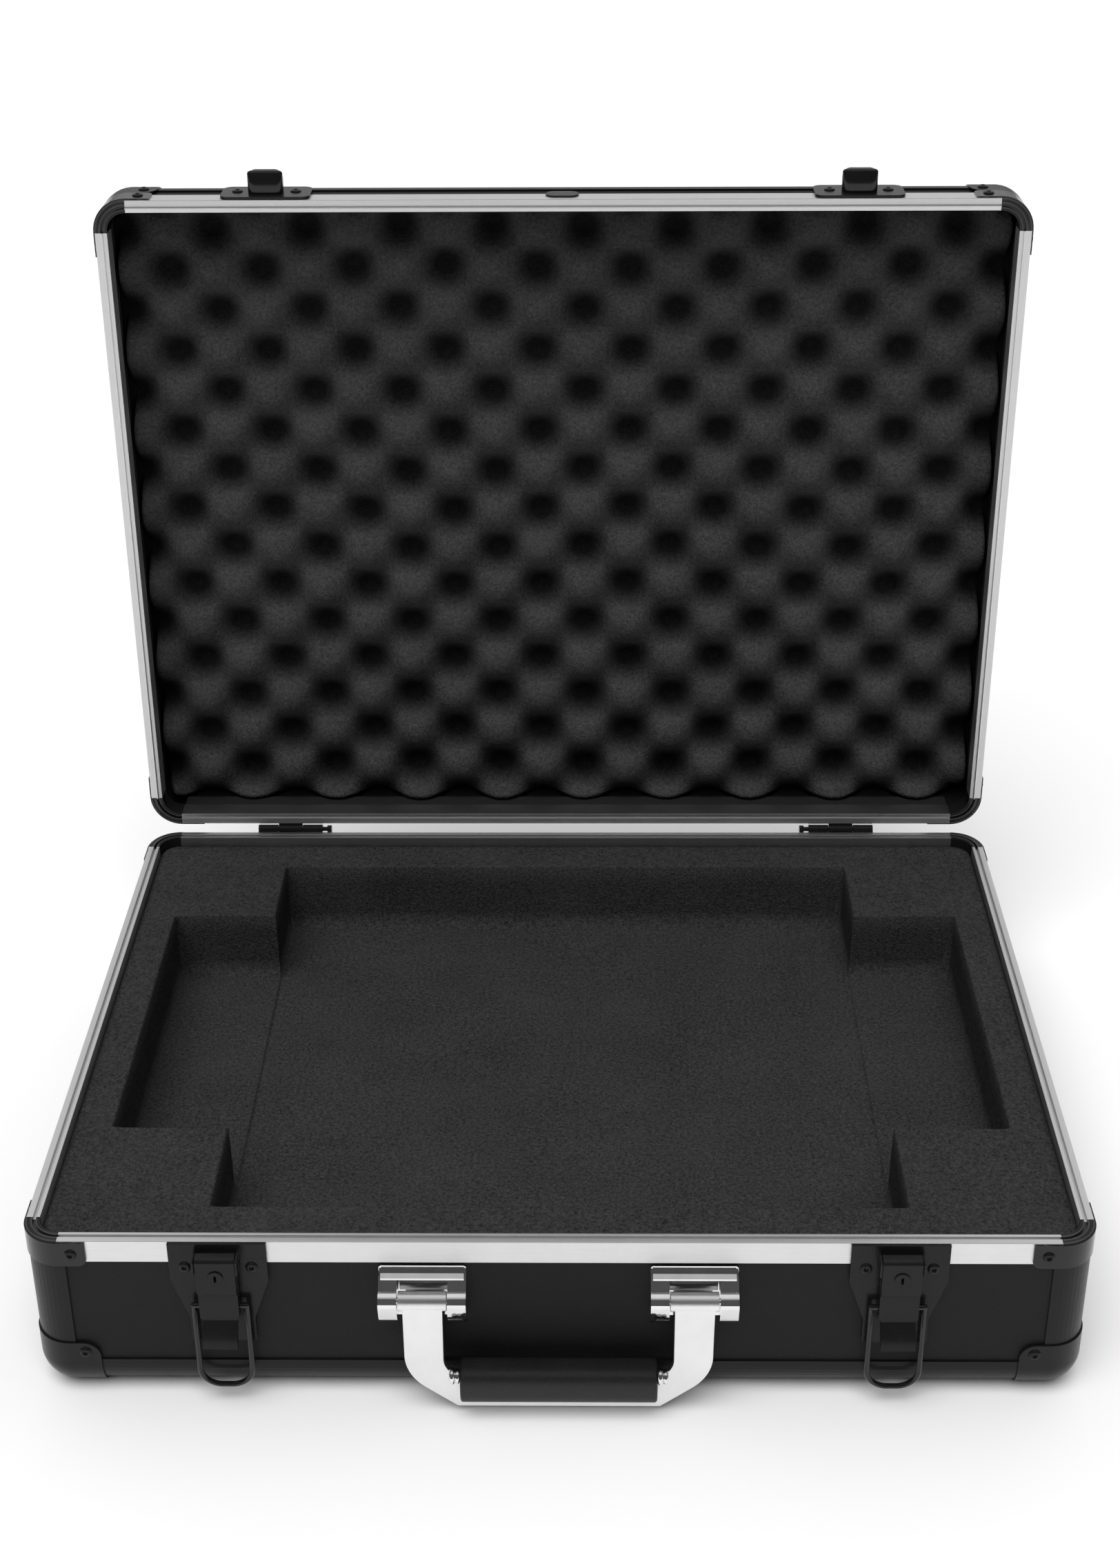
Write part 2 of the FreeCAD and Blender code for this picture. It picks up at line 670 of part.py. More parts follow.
def build_hinge(side, sign):
    middle = f"({sign} * hinge_place)"
    axis = (HINGE_BACK, HINGE_UP)
    half_knuckle = "knuckle_middle / 2"
    ranges = {
        "base": [(f"{middle} - hinge_width / 2", f"{middle} - {half_knuckle} - knuckle_gap"),
                 (f"{middle} + {half_knuckle} + knuckle_gap", f"{middle} + hinge_width / 2")],
        "lid": [(f"{middle} - {half_knuckle}", f"{middle} + {half_knuckle}")],
    }
    for half in (BASE, LID):
        name = f"{half.name}_hinge_leaf_{side}"
        up = "+" if half is LID else "-"
        far = (f"{HINGE_UP} {up} hinge_clear", f"{HINGE_UP} {up} hinge_tall")
        web = (HINGE_UP, f"{HINGE_UP} {up} (hinge_clear + 0.1)")
        if half is BASE:
            far, web = far[::-1], web[::-1]
        face = along(1, "0")
        parts = [box(name + "_plate", (f"{middle} - hinge_width / 2", f"{middle} + hinge_width / 2"),
                     (face, f"{face} + hinge_leaf"), far)]
        for index, (low, high) in enumerate(ranges[half.name]):
            parts.append(box(f"{name}_web_{index}", (low, high), (face, HINGE_BACK), web))
            parts.append(rod(f"{name}_knuckle_{index}", "x", (low, *axis), "knuckle_radius",
                             f"({high}) - ({low})"))
        bore = rod(name + "_bore", "x", (f"{middle} - hinge_width", *axis),
                   "pin_radius + pin_play", "2 * hinge_width")
        shell_node(half, name, cut(name, fuse(name + "_solid", parts), bore))
    inboard = -sign
    start = f"{middle} {'+' if inboard > 0 else '-'} (hinge_width / 2 + 2.9)"
    outward = "x" if inboard < 0 else "-x"
    pin = rod(f"hinge_pin_{side}_shaft", outward, (start, *axis), "pin_radius", "hinge_width + 2.9")
    head = rod(f"hinge_pin_{side}_head", "-x" if inboard < 0 else "x", (start, *axis),
               "pin_radius + 0.9", "2.5")
    return fuse(f"hinge_pin_{side}", [pin, head])


# ---- latches -----------------------------------------------------------------

def build_latch(side, sign):
    """Plate with two ears, lever with a bore for the bail, wire bail, lock plug, pivot pin."""
    middle = f"({sign} * latch_place)"
    face = "case_depth / 2"
    plate = new_body(f"latch_plate_{side}")
    top_width, foot_width = "latch_width / 2", "latch_foot / 2"
    outline = [
        (f"{middle} - {top_width}", "latch_top"), (f"{middle} - {top_width}", "latch_taper"),
        (f"{middle} - {foot_width}", "latch_taper - 22"), (f"{middle} - {foot_width}", "latch_bottom"),
        (f"{middle} + {foot_width}", "latch_bottom"), (f"{middle} + {foot_width}", "latch_taper - 22"),
        (f"{middle} + {top_width}", "latch_taper"), (f"{middle} + {top_width}", "latch_top")]
    pad(plate, "XZ", outline, face, "latch_wall")
    ear_y = (ahead("lever_pivot_out + 3"), ahead("latch_wall / 2"))
    ear_z = ("lever_pivot_up - 5", "lever_pivot_up + 3")
    ear = rounded_rectangle(ear_y[0], ear_y[1], ear_z[0], ear_z[1], "0.6")
    inside = "(lever_width / 2 + lever_gap)"
    for start in (f"{middle} - {inside} - ear_wall", f"{middle} + {inside}"):
        pad(plate, "YZ", ear, start, "ear_wall")
    pivot = (ahead("lever_pivot_out"), "lever_pivot_up")
    drill(plate, "YZ", pivot, "pin_radius + pin_play", f"{middle} - 15", "30")
    node(f"latch_plate_{side}", plate)

    lever = new_body(f"latch_lever_{side}")
    block = [
        (ahead("3.2"), "lever_pivot_up + 2.4"), (ahead("3.2"), "bail_pivot_up - 5"),
        (ahead("8.4"), "bail_pivot_up - 5"), (ahead("8.4"), "bail_pivot_up + 9"),
        (ahead("10.4"), "bail_pivot_up + 11"), (ahead("10.4"), "lever_pivot_up + 1"),
        (ahead("8"), "lever_pivot_up + 3.4", ahead("8"), "lever_pivot_up + 1"),
        (ahead("5"), "lever_pivot_up + 3.4")]
    pad(lever, "YZ", block, f"{middle} - lever_width / 2", "lever_width")
    lip = [
        (ahead("8.4"), "bail_pivot_up - 4"), (ahead("6.6"), "bail_pivot_up - 4"),
        (ahead("6.6"), "bail_pivot_up - 7"),
        (ahead("12.6"), "bail_pivot_up - 19"), (ahead("14.4"), "bail_pivot_up - 18.2"),
        (ahead("12.6"), "bail_pivot_up - 11"), (ahead("8.4"), "bail_pivot_up - 6")]
    pad(lever, "YZ", lip, f"{middle} - lever_width / 2 + 1", "lever_width - 2")
    bail_axis = (ahead("bail_pivot_out"), "bail_pivot_up")
    drill(lever, "YZ", bail_axis, "wire_radius + 0.1", f"{middle} - 15", "30")
    drill(lever, "YZ", pivot, "pin_radius + pin_play", f"{middle} - 15", "30")
    drill(lever, "XZ", (middle, "plug_up"), "plug_radius + pin_play", "case_depth / 2 + 6.4", "6")
    node(f"latch_lever_{side}", lever)

    plug = new_body(f"lock_plug_{side}")
    sketch = new_sketch(plug, "XZ", "case_depth / 2 + 6.5")
    draw_circle(sketch, middle, "plug_up", "plug_radius")
    core = plug.newObject("PartDesign::Pad", "plug_core")
    core.Profile = sketch
    core.setExpression("Length", bound("4.6"))
    slot = new_sketch(plug, "XZ", "case_depth / 2 + 9")
    draw(slot, [(f"{middle} - 0.6", "plug_up - 2.2"), (f"{middle} + 0.6", "plug_up - 2.2"),
                (f"{middle} + 0.6", "plug_up + 1.4"), (f"{middle} - 0.6", "plug_up + 1.4")])
    keyway = plug.newObject("PartDesign::Pocket", "plug_keyway")
    keyway.Profile = slot
    keyway.Reversed = True
    keyway.setExpression("Length", bound("3"))
    node(f"lock_plug_{side}", plug)

    build_bail(side, middle)
    pin_start = f"{middle} - {inside} - ear_wall"
    return rod(f"latch_pin_{side}", "x", (pin_start, *pivot), "pin_radius",
               f"2 * ({inside} + ear_wall)")


def build_bail(side, middle):
    """A wire loop: two ends turned into the lever, two legs, two corners and a bar."""
    depth = ahead("bail_pivot_out")
    foot = "(bail_pivot_up - bail_reach)"
    bend = f"({foot} + bail_round)"
    half_bar = "(bail_half - bail_round)"
    name = f"latch_bail_{side}"
    parts = [rod(f"{name}_bar", "x", (f"{middle} - {half_bar}", depth, foot), "wire_radius",
                 f"2 * {half_bar}")]
    for sign in SIDES.values():
        leg_x = f"{middle} + {sign} * bail_half"
        inward = "-x" if sign > 0 else "x"
        parts.append(rod(f"{name}_end_{sign}", inward, (leg_x, depth, "bail_pivot_up"),
                         "wire_radius", "bail_half - lever_width / 2 + 3"))
        parts.append(rod(f"{name}_leg_{sign}", "z", (leg_x, depth, bend),
                         "wire_radius", f"bail_pivot_up - {bend}"))
        knee = doc.addObject("Part::Sphere", f"{name}_knee_{sign}")
        knee.setExpression("Radius", bound("wire_radius"))
        place(knee, x=leg_x, y=depth, z="bail_pivot_up")
        parts.append(knee)
        corner = doc.addObject("Part::Torus", f"{name}_corner_{sign}")
        corner.setExpression("Radius1", bound("bail_round"))
        corner.setExpression("Radius2", bound("wire_radius"))
        corner.Angle3 = 90
        turned = Rotation(Vector(1, 0, 0), -90)
        if sign < 0:
            turned = turned.multiply(Rotation(Vector(0, 0, 1), 90))
        corner.Placement = Placement(Vector(), turned)
        place(corner, x=f"{middle} + {sign} * {half_bar}", y=depth, z=bend)
        parts.append(corner)
    node(name, fuse(name, parts))


def build_strike(side, sign):
    """Plate on the lid's front with a hook that the raised bail drops behind."""
    middle = f"({sign} * latch_place)"
    face = "case_depth / 2"
    low, high = LID.span("0.5", "strike_tall + 0.5")
    body = new_body(f"strike_{side}")
    pad(body, "XZ", rounded_rectangle(f"{middle} - strike_width / 2", f"{middle} + strike_width / 2",
                                      low, high, "5"), face, "latch_wall")
    low_x, high_x = f"{middle} - hook_width / 2", f"{middle} + hook_width / 2"
    root, lip, tip = ahead("latch_wall / 2"), ahead("hook_out - hook_lip_wall"), ahead("hook_out")
    bend = ahead("hook_out - hook_round")
    tongue = [
        (low_x, root), (low_x, bend), (f"{low_x} + hook_round", tip, f"{low_x} + hook_round", bend),
        (f"{high_x} - hook_round", tip), (high_x, bend, f"{high_x} - hook_round", bend), (high_x, root)]
    pad(body, "XY", tongue, f"{HOOK_SEAT} - hook_wall", "hook_wall + hook_lip")
    hollow = new_sketch(body, "XY", f"{HOOK_SEAT} + hook_lip")
    draw(hollow, [(low_x, root), (low_x, lip), (high_x, lip), (high_x, root)])
    seat = body.newObject("PartDesign::Pocket", f"strike_{side}_seat")
    seat.Profile = hollow
    seat.setExpression("Length", bound("hook_lip"))
    lid_node(f"strike_{side}", body)


# ---- handle ------------------------------------------------------------------

def build_handle():
    """A flat U-shaped frame with a barrel on each arm, a grip over its bar and end ferrules."""
    face = "case_depth / 2"
    foot = "(handle_pivot_up - handle_drop)"
    outer = "(bracket_place + arm_width / 2)"
    slope_end = "(grip_length / 2 + 1.5)"
    slope_top = f"(({outer} - {slope_end}) * tan(slope_angle))"
    tangent = "(arm_round * tan((90 - slope_angle) / 2))"
    turn_x = f"({outer} - {tangent} * cos(slope_angle))"
    turn_z = f"({foot} + {slope_top} - {tangent} * sin(slope_angle))"
    bend = f"({foot} + {slope_top} + {tangent})"
    centre = f"({outer} - arm_round)"
    inner = f"({outer} - arm_width)"
    corner = f"({inner} - inner_round)"
    bar_top = f"({foot} + bar_width)"
    inner_bend = f"({bar_top} + inner_round)"
    frame = new_body("handle_frame_plate")
    outline = [
        (f"-{outer}", "handle_pivot_up"), (f"-{outer}", bend),
        (f"-{turn_x}", turn_z, f"-{centre}", bend), (f"-{slope_end}", foot), (slope_end, foot),
        (turn_x, turn_z), (outer, bend, centre, bend), (outer, "handle_pivot_up"),
        (inner, "handle_pivot_up"), (inner, inner_bend), (corner, bar_top, corner, inner_bend),
        (f"-{corner}", bar_top), (f"-{inner}", inner_bend, f"-{corner}", inner_bend),
        (f"-{inner}", "handle_pivot_up")]
    pad(frame, "XZ", outline, f"{face} + arm_out", "arm_wall")
    pivot = (ahead("handle_pivot_out"), "handle_pivot_up")
    parts = [frame]
    for side, sign in SIDES.items():
        middle = f"({sign} * bracket_place)"
        half_barrel = "(bracket_width / 2 - lug_width - 0.4)"
        parts.append(rod(f"handle_barrel_{side}", "x", (f"{middle} - {half_barrel}", *pivot),
                         "handle_barrel", f"2 * {half_barrel}"))
    bores = [rod(f"handle_bore_{side}", "x", (f"{sign} * bracket_place - 25", *pivot),
                 "handle_pin + pin_play", "50") for side, sign in SIDES.items()]
    solid = fuse("handle_frame_solid", parts)
    node("handle_frame", cut("handle_frame", solid, fuse("handle_bores", bores)))

    grip = new_body("handle_grip")
    centre = f"({foot} + grip_rise)"
    low, high = f"{centre} - grip_radius", f"{centre} + grip_radius"
    back, front = ahead("grip_out - grip_radius + 0.8"), ahead("grip_out + grip_radius - 0.8")
    pad(grip, "YZ", rounded_rectangle(front, back, low, high, "7"), "-grip_length / 2", "grip_length")
    slot = new_sketch(grip, "YZ", "-grip_length / 2 - 1")
    bar_top = f"{foot} + bar_width + grip_slack"
    draw(slot, [(ahead("arm_out + arm_wall"), f"{low} - 1"), (ahead("arm_out"), f"{low} - 1"),
                (ahead("arm_out"), bar_top), (ahead("arm_out + arm_wall"), bar_top)])
    channel = grip.newObject("PartDesign::Pocket", "grip_channel")
    channel.Profile = slot
    channel.Reversed = True
    channel.setExpression("Length", bound("grip_length + 2"))
    node("handle_grip", grip)

    ferrules = []
    for side, sign in SIDES.items():
        start = (f"{sign} * grip_length / 2", ahead("arm_out + arm_wall + ferrule_radius + 0.1"),
                 f"{high} - 4.6")
        ferrules.append(rod(f"ferrule_{side}", "x" if sign > 0 else "-x", start, "ferrule_radius", "5"))
    node("grip_ferrules", group("grip_ferrules", ferrules))


def build_bracket(side, sign):
    """A plate with a lug at each side and a brow above the barrel; returns its pin."""
    middle = f"({sign} * bracket_place)"
    bracket = new_body(f"handle_bracket_{side}")
    low_x, high_x = f"{middle} - bracket_width / 2", f"{middle} + bracket_width / 2"
    pad(bracket, "XZ", rounded_rectangle(low_x, high_x, "bracket_low", "bracket_high", "1.5"),
        "case_depth / 2 - rim_skin", "bracket_wall")
    root = ahead("bracket_wall / 2 - rim_skin")
    up, out = "handle_pivot_up", "handle_pivot_out"
    lug = [
        (root, f"{up} + 11"), (ahead("3.5"), f"{up} + 11"), (ahead(out), f"{up} + 5.5"),
        (ahead(f"{out} + 5.5"), up, ahead(out), up), (ahead(f"{out} + 3.2"), f"{up} - 8"),
        (ahead(f"{out} - 1"), f"{up} - 13"), (root, f"{up} - 13")]
    for start in (low_x, f"{high_x} - lug_width"):
        pad(bracket, "YZ", lug, start, "lug_width")
    brow = [(root, f"{up} + 9.6"), (ahead("5"), f"{up} + 9.6"), (ahead("5"), f"{up} + 10.6"),
            (ahead("3"), f"{up} + 12"), (root, f"{up} + 12")]
    pad(bracket, "YZ", brow, f"{middle} - bracket_width / 2 + 1", "bracket_width - 2")
    pivot = (ahead(out), up)
    drill(bracket, "YZ", pivot, "handle_pin + pin_play", f"{middle} - 25", "50")
    node(f"handle_bracket_{side}", bracket)
    return rod(f"handle_pin_{side}", "x", (low_x, *pivot), "handle_pin", "bracket_width")


# ---- assembly ----------------------------------------------------------------

for shell_half in (BASE, LID):
    build_panels(shell_half)
    build_rails(shell_half)
    build_edges(shell_half)
    build_corners(shell_half)

build_base_foam()
build_lid_foam()

node("hinge_pins", group("hinge_pins", [build_hinge(side, sign) for side, sign in SIDES.items()]))
node("latch_pins", group("latch_pins", [build_latch(side, sign) for side, sign in SIDES.items()]))
for side, sign in SIDES.items():
    build_strike(side, sign)
handle_pins = [build_bracket(side, sign) for side, sign in SIDES.items()]
node("handle_pins", group("handle_pins", handle_pins))
build_handle()

base_heads = shell_rivets(BASE)
lid_heads = shell_rivets(LID)
for side, sign in SIDES.items():
    for offset in (-15.3, 15.3):
        x = f"{sign} * latch_place + {offset}"
        on_plate = ahead("latch_wall")
        base_heads.append(rivet(f"latch_rivet_{side}_{offset > 0}", "-y", (x, on_plate, "78")))
        lid_heads.append(rivet(f"strike_rivet_{side}_{offset > 0}", "-y",
                               (x, on_plate, LID.level("12.5"))))
    for offset in (-13, 13):
        x = f"{sign} * hinge_place + {offset}"
        on_leaf = f"{along(1, '0')} + hinge_leaf"
        base_heads.append(rivet(f"base_leaf_rivet_{side}_{offset > 0}", "y",
                                (x, on_leaf, f"{HINGE_UP} - 16")))
        lid_heads.append(rivet(f"lid_leaf_rivet_{side}_{offset > 0}", "y",
                               (x, on_leaf, f"{HINGE_UP} + 16")))
node("base_rivets", group("base_rivets", base_heads))
lid_node("lid_rivets", group("lid_rivets", lid_heads))

badge = new_body("lid_badge")
badge_low, badge_high = LID.span("4", "badge_tall + 4")
pad(badge, "XZ", rounded_rectangle("-badge_width / 2", "badge_width / 2", badge_low, badge_high,
                                   "(badge_tall / 2 - 0.2)"), "case_depth / 2", "badge_wall")
lid_node("lid_badge", badge)

doc.recompute()

# ---- checks and files ----------------------------------------------------------

for item in doc.Objects:
    if {"Invalid", "Error"} & set(item.State):
        raise RuntimeError(f"{item.Name} is {item.State}")
for item in nodes:
    if item.Shape.isNull() or not item.Shape.isValid() or not item.Shape.Solids:
        raise RuntimeError(f"{item.Label} has no valid solid")

os.makedirs("parts", exist_ok=True)
for item in nodes:
    item.Shape.exportStep(f"parts/{item.Label}.step")
print(len(nodes), "nodes")
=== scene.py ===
import json
import math

import bmesh
import bpy
import numpy as np
from mathutils import Matrix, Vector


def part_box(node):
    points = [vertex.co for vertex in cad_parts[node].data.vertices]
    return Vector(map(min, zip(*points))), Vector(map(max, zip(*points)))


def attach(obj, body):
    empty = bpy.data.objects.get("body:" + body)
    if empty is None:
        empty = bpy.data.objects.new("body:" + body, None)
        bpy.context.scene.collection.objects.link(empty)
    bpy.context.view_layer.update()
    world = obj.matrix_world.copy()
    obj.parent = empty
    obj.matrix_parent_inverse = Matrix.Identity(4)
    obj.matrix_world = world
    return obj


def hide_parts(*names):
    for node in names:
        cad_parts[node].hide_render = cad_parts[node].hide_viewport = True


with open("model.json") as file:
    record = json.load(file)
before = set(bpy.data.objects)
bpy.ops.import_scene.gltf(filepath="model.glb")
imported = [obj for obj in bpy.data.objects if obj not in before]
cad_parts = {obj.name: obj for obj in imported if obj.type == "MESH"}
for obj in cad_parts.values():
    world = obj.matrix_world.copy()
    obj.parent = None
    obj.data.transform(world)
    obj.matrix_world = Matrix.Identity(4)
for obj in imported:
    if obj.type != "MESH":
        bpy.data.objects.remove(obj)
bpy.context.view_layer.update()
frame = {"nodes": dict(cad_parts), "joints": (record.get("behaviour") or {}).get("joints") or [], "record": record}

# ---- places read from the frame ----------------------------------------------

MM = 0.001
NODES = frame["nodes"]
BODY_OF = {node: body for body, nodes in frame["record"]["behaviour"]["bodies"].items()
           for node in nodes}
SLOT_OF = {part["node"]: part["material_slot"] for part in frame["record"]["subparts"]}
HINGE = next(joint for joint in frame["joints"] if joint["name"] == "lid_hinge")
HINGE_Y, HINGE_Z = HINGE["pos_m"][1:]
LID_TURN = math.radians(HINGE["range_deg"][1])

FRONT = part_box("base_front_rail")[0].y
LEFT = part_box("base_left_rail")[0].x

# ---- sizes of the case, as in its CAD source ------------------------------------

CORNER_ROUND = 17 * MM              # upright corners of the shell
RIM_WALL = 6.5 * MM                 # a rail's outer face to the foam
PANEL_INSIDE = 5 * MM               # a rail's outer face to the inside of the panel
SEAT_HALF = (162.5 * MM, 153.5 * MM)    # the device's seat, from its middle
SEAT_DEPTH = 42 * MM
POCKET_REACH = 219 * MM             # outer side of a pocket from the case's middle
POCKET_FRONT = -93.5 * MM
POCKET_BACK = 100 * MM
POCKET_DEPTH = 40 * MM
CUT_ROUND = 2 * MM                  # corners of the foam's cut-outs
BASE_MIDDLE = (0.0, 0.0, 45 * MM)

# ---- sizes of what only the finished model has ------------------------------------

# egg-crate foam in the closed lid: spacing along x and y, place of one pit, pit's depth
PIT_SPACING = (49.7 * MM, 46.4 * MM)
PIT_PLACE = (11.4 * MM, -72.2 * MM)
PIT_DEPTH = 17 * MM
PIT_POWER = 1.25
RING_STEP = 2.3 * MM                # ridges on the rim's corners
RIM_FACE = 0.9 * MM                 # how far from the hinge line's level a face still counts as the rim's
FERRULE_WIRE = 1.35 * MM
FERRULE_CURL = 2.7 * MM
GRIP_END_ROUND = 1.3 * MM
HOOK_WIDE = 18.5 * MM
HOOK_BULGE = 3.4 * MM
HOOK_UNDER = 9.3 * MM               # the hook's underside above the hinge line, lid closed
EDGE_ANGLE = math.radians(28)       # an edge that turns by more than this gets a round
FLAT_ANGLE = math.radians(1)
WELD = 1e-6                         # vertices closer than this, in metres, are one


def shut(points):
    """Points of the open lid turned about the hinge line to where they are when the case is closed."""
    y, z = points[..., 1] - HINGE_Y, points[..., 2] - HINGE_Z
    cos, sin = math.cos(LID_TURN), math.sin(LID_TURN)
    return np.stack([points[..., 0], HINGE_Y + y * cos - z * sin, HINGE_Z + y * sin + z * cos], -1)


def opened(points):
    """The inverse of shut: points of the closed lid turned back to the open pose."""
    y, z = points[..., 1] - HINGE_Y, points[..., 2] - HINGE_Z
    cos, sin = math.cos(LID_TURN), math.sin(LID_TURN)
    return np.stack([points[..., 0], HINGE_Y + y * cos + z * sin, HINGE_Z - y * sin + z * cos], -1)


def corners_of(name):
    """A node's vertices as an array."""
    mesh = NODES[name].data
    flat = np.empty(len(mesh.vertices) * 3, np.float32)
    mesh.vertices.foreach_get("co", flat)
    return flat.reshape(-1, 3).astype(float)


# ---- materials ---------------------------------------------------------------

class Wire:
    """A socket of a material, so that a formula on sockets reads as one on numbers."""

    def __init__(self, finish, socket):
        self.finish = finish
        self.socket = socket

    def maths(self, operation, first, second):
        node = self.finish.add("Math", {"operation": operation}, {0: first, 1: second})
        return Wire(self.finish, node.outputs[0])

    def __add__(self, other):
        return self.maths("ADD", self, other)

    def __radd__(self, other):
        return self.maths("ADD", other, self)

    def __sub__(self, other):
        return self.maths("SUBTRACT", self, other)

    def __rsub__(self, other):
        return self.maths("SUBTRACT", other, self)

    def __mul__(self, other):
        return self.maths("MULTIPLY", self, other)

    def __rmul__(self, other):
        return self.maths("MULTIPLY", other, self)

    def __truediv__(self, other):
        return self.maths("DIVIDE", self, other)

    def __pow__(self, other):
        return self.maths("POWER", self, other)

    def __lt__(self, other):
        return self.maths("LESS_THAN", self, other)

    def __gt__(self, other):
        return self.maths("GREATER_THAN", self, other)

    def __abs__(self):
        return self.maths("ABSOLUTE", self, 0.0)


class Finish:
    """A material: a principled shader whose varying sockets are fed with formulas."""

    def __init__(self, name, **constants):
        self.material = bpy.data.materials.new(name)
        self.material.use_nodes = True
        self.tree = self.material.node_tree
        self.tree.nodes.clear()
        self.shader = self.add("BsdfPrincipled")
        output = self.add("OutputMaterial")
        self.tree.links.new(self.shader.outputs[0], output.inputs[0])
        self.set(**constants)
        self.place = self.add("TexCoord").outputs["Object"]

    def feed(self, socket, value):
        if isinstance(value, Wire):
            self.tree.links.new(value.socket, socket)
        elif isinstance(value, bpy.types.NodeSocket):
            self.tree.links.new(value, socket)
        else:
            socket.default_value = value

    def add(self, kind, settings=None, values=None):
        """A node of a type: its settings first, then the values or links of its sockets."""
        node = self.tree.nodes.new("ShaderNode" + kind)
        for key, value in (settings or {}).items():
            if key == "stops":
                ramp = node.color_ramp
                while len(ramp.elements) < len(value):
                    ramp.elements.new(1.0)
                for element, (position, shade) in zip(ramp.elements, value):
                    element.position = position
                    element.color = shade if len(shade) == 4 else (*shade, 1)
            else:
                setattr(node, key, value)
        for key, value in (values or {}).items():
            self.feed(node.inputs[key], value)
        return node

    def noise(self, scale, detail=3.0, rough=0.55, stretch=(1, 1, 1)):
        place = self.add("Mapping", None, {"Vector": self.place, "Scale": stretch}).outputs[0]
        node = self.add("TexNoise", None, {"Vector": place, "Scale": scale, "Detail": detail,
                                           "Roughness": rough})
        return Wire(self, node.outputs[0])

    def cells(self, scale):
        """Distance to the nearest of scattered points: small where a grain or pore has its middle."""
        node = self.add("TexVoronoi", None, {"Vector": self.place, "Scale": scale})
        return Wire(self, node.outputs["Distance"])

    def axes(self):
        node = self.add("SeparateXYZ", None, {0: self.place})
        return [Wire(self, node.outputs[index]) for index in range(3)]

    def shade(self, fac, stops):
        """A colour picked along stops of (position, colour)."""
        node = self.add("ValToRGB", {"stops": stops}, {0: fac})
        return Wire(self, node.outputs[0])

    def blend(self, fac, first, second):
        node = self.add("Mix", {"data_type": "RGBA"}, {0: fac, 6: first, 7: second})
        return Wire(self, node.outputs[2])

    def darken(self, colour, by):
        """A colour multiplied by another."""
        node = self.add("Mix", {"data_type": "RGBA", "blend_type": "MULTIPLY"}, {0: 1.0, 6: colour, 7: by})
        return Wire(self, node.outputs[2])

    def set(self, **values):
        """Give values or links to the shader's sockets, named with _ for a space."""
        for name, value in values.items():
            self.feed(self.shader.inputs[name.replace("_", " ")], value)

    def bump(self, height, depth, strength=1.0):
        """Relief of a height from 0 to 1 times a depth in metres."""
        node = self.add("Bump", None, {"Strength": strength, "Distance": depth, "Height": height})
        self.feed(self.shader.inputs["Normal"], node.outputs[0])


def grey(value):
    return (value, value, value, 1)


def shut_axes(finish, lid):
    """The axes of the closed case: the lid's places are turned back about the hinge line."""
    if not lid:
        return finish.axes()
    turned = finish.add("Mapping", None, {
        "Vector": finish.place,
        "Location": (0.0, HINGE_Y - HINGE_Y * math.cos(LID_TURN) + HINGE_Z * math.sin(LID_TURN),
                     HINGE_Z - HINGE_Y * math.sin(LID_TURN) - HINGE_Z * math.cos(LID_TURN)),
        "Rotation": (LID_TURN, 0.0, 0.0)}).outputs[0]
    node = finish.add("SeparateXYZ", None, {0: turned})
    return [Wire(finish, node.outputs[index]) for index in range(3)]


def inside_mask(finish, lid):
    """1 on the faces of a shell that look into the case, 0 outside."""
    x, y, _ = shut_axes(finish, lid)
    near_x = abs(x) < (-LEFT - PANEL_INSIDE + 0.3 * MM)
    near_y = abs(y) < (-FRONT - PANEL_INSIDE + 0.3 * MM)
    return near_x * near_y


def foam_finish(name, light, dark, pits=None):
    """Open-cell foam: fine pores, a speckle of lit cell walls and slow patches. Where pits are given, as the
    levels of the peaks and of the pits' floors in the closed lid, shade is painted into the colour, darker from
    the one to the other."""
    finish = Finish(name, Roughness=0.97, Specular_IOR_Level=0.05)
    pores = finish.cells(1150.0)
    speckle = finish.noise(560.0, 3.0, 0.8)
    patches = finish.noise(22.0, 3.0, 0.6)
    tone = speckle * 0.75 + patches * 0.15 + pores * 0.2
    colour = finish.shade(tone, [(0.38, grey(dark)), (0.54, grey((light + dark) / 2)), (0.72, grey(light))])
    if pits is not None:
        peak, floor = pits
        # painted shade: the foam's colour is darkened with the depth into the lid's pits
        depth = (shut_axes(finish, True)[2] - peak) / (floor - peak)
        shadow = finish.shade(depth, [(0.34, grey(1.0)), (0.58, grey(0.62)), (0.86, grey(0.22))])
        colour = finish.darken(colour, shadow)
    finish.set(Base_Color=colour)
    finish.bump(pores * 0.7 + speckle * 0.6, 0.5 * MM, 0.9)
    return finish.material


def panel_finish(name, lid):
    """Charcoal laminate with a fine pebble grain outside, and a felt-like lining inside."""
    finish = Finish(name, Specular_IOR_Level=0.17)
    inside = inside_mask(finish, lid)
    grain = finish.cells(1500.0)
    slow = finish.noise(9.0, 4.0, 0.6)
    fibre = finish.noise(1400.0, 2.0, 0.8)
    outer = finish.shade(slow * 0.6 + grain * 0.5, [(0.3, grey(0.007)), (0.75, grey(0.012))])
    lining = finish.shade(fibre, [(0.3, grey(0.012)), (0.7, grey(0.020))])
    finish.set(Base_Color=finish.blend(inside, outer, lining),
               Roughness=0.5 + slow * 0.08 + inside * 0.4)
    finish.bump(grain * (1 - inside) + fibre * inside, 0.12 * MM, 0.6)
    return finish.material


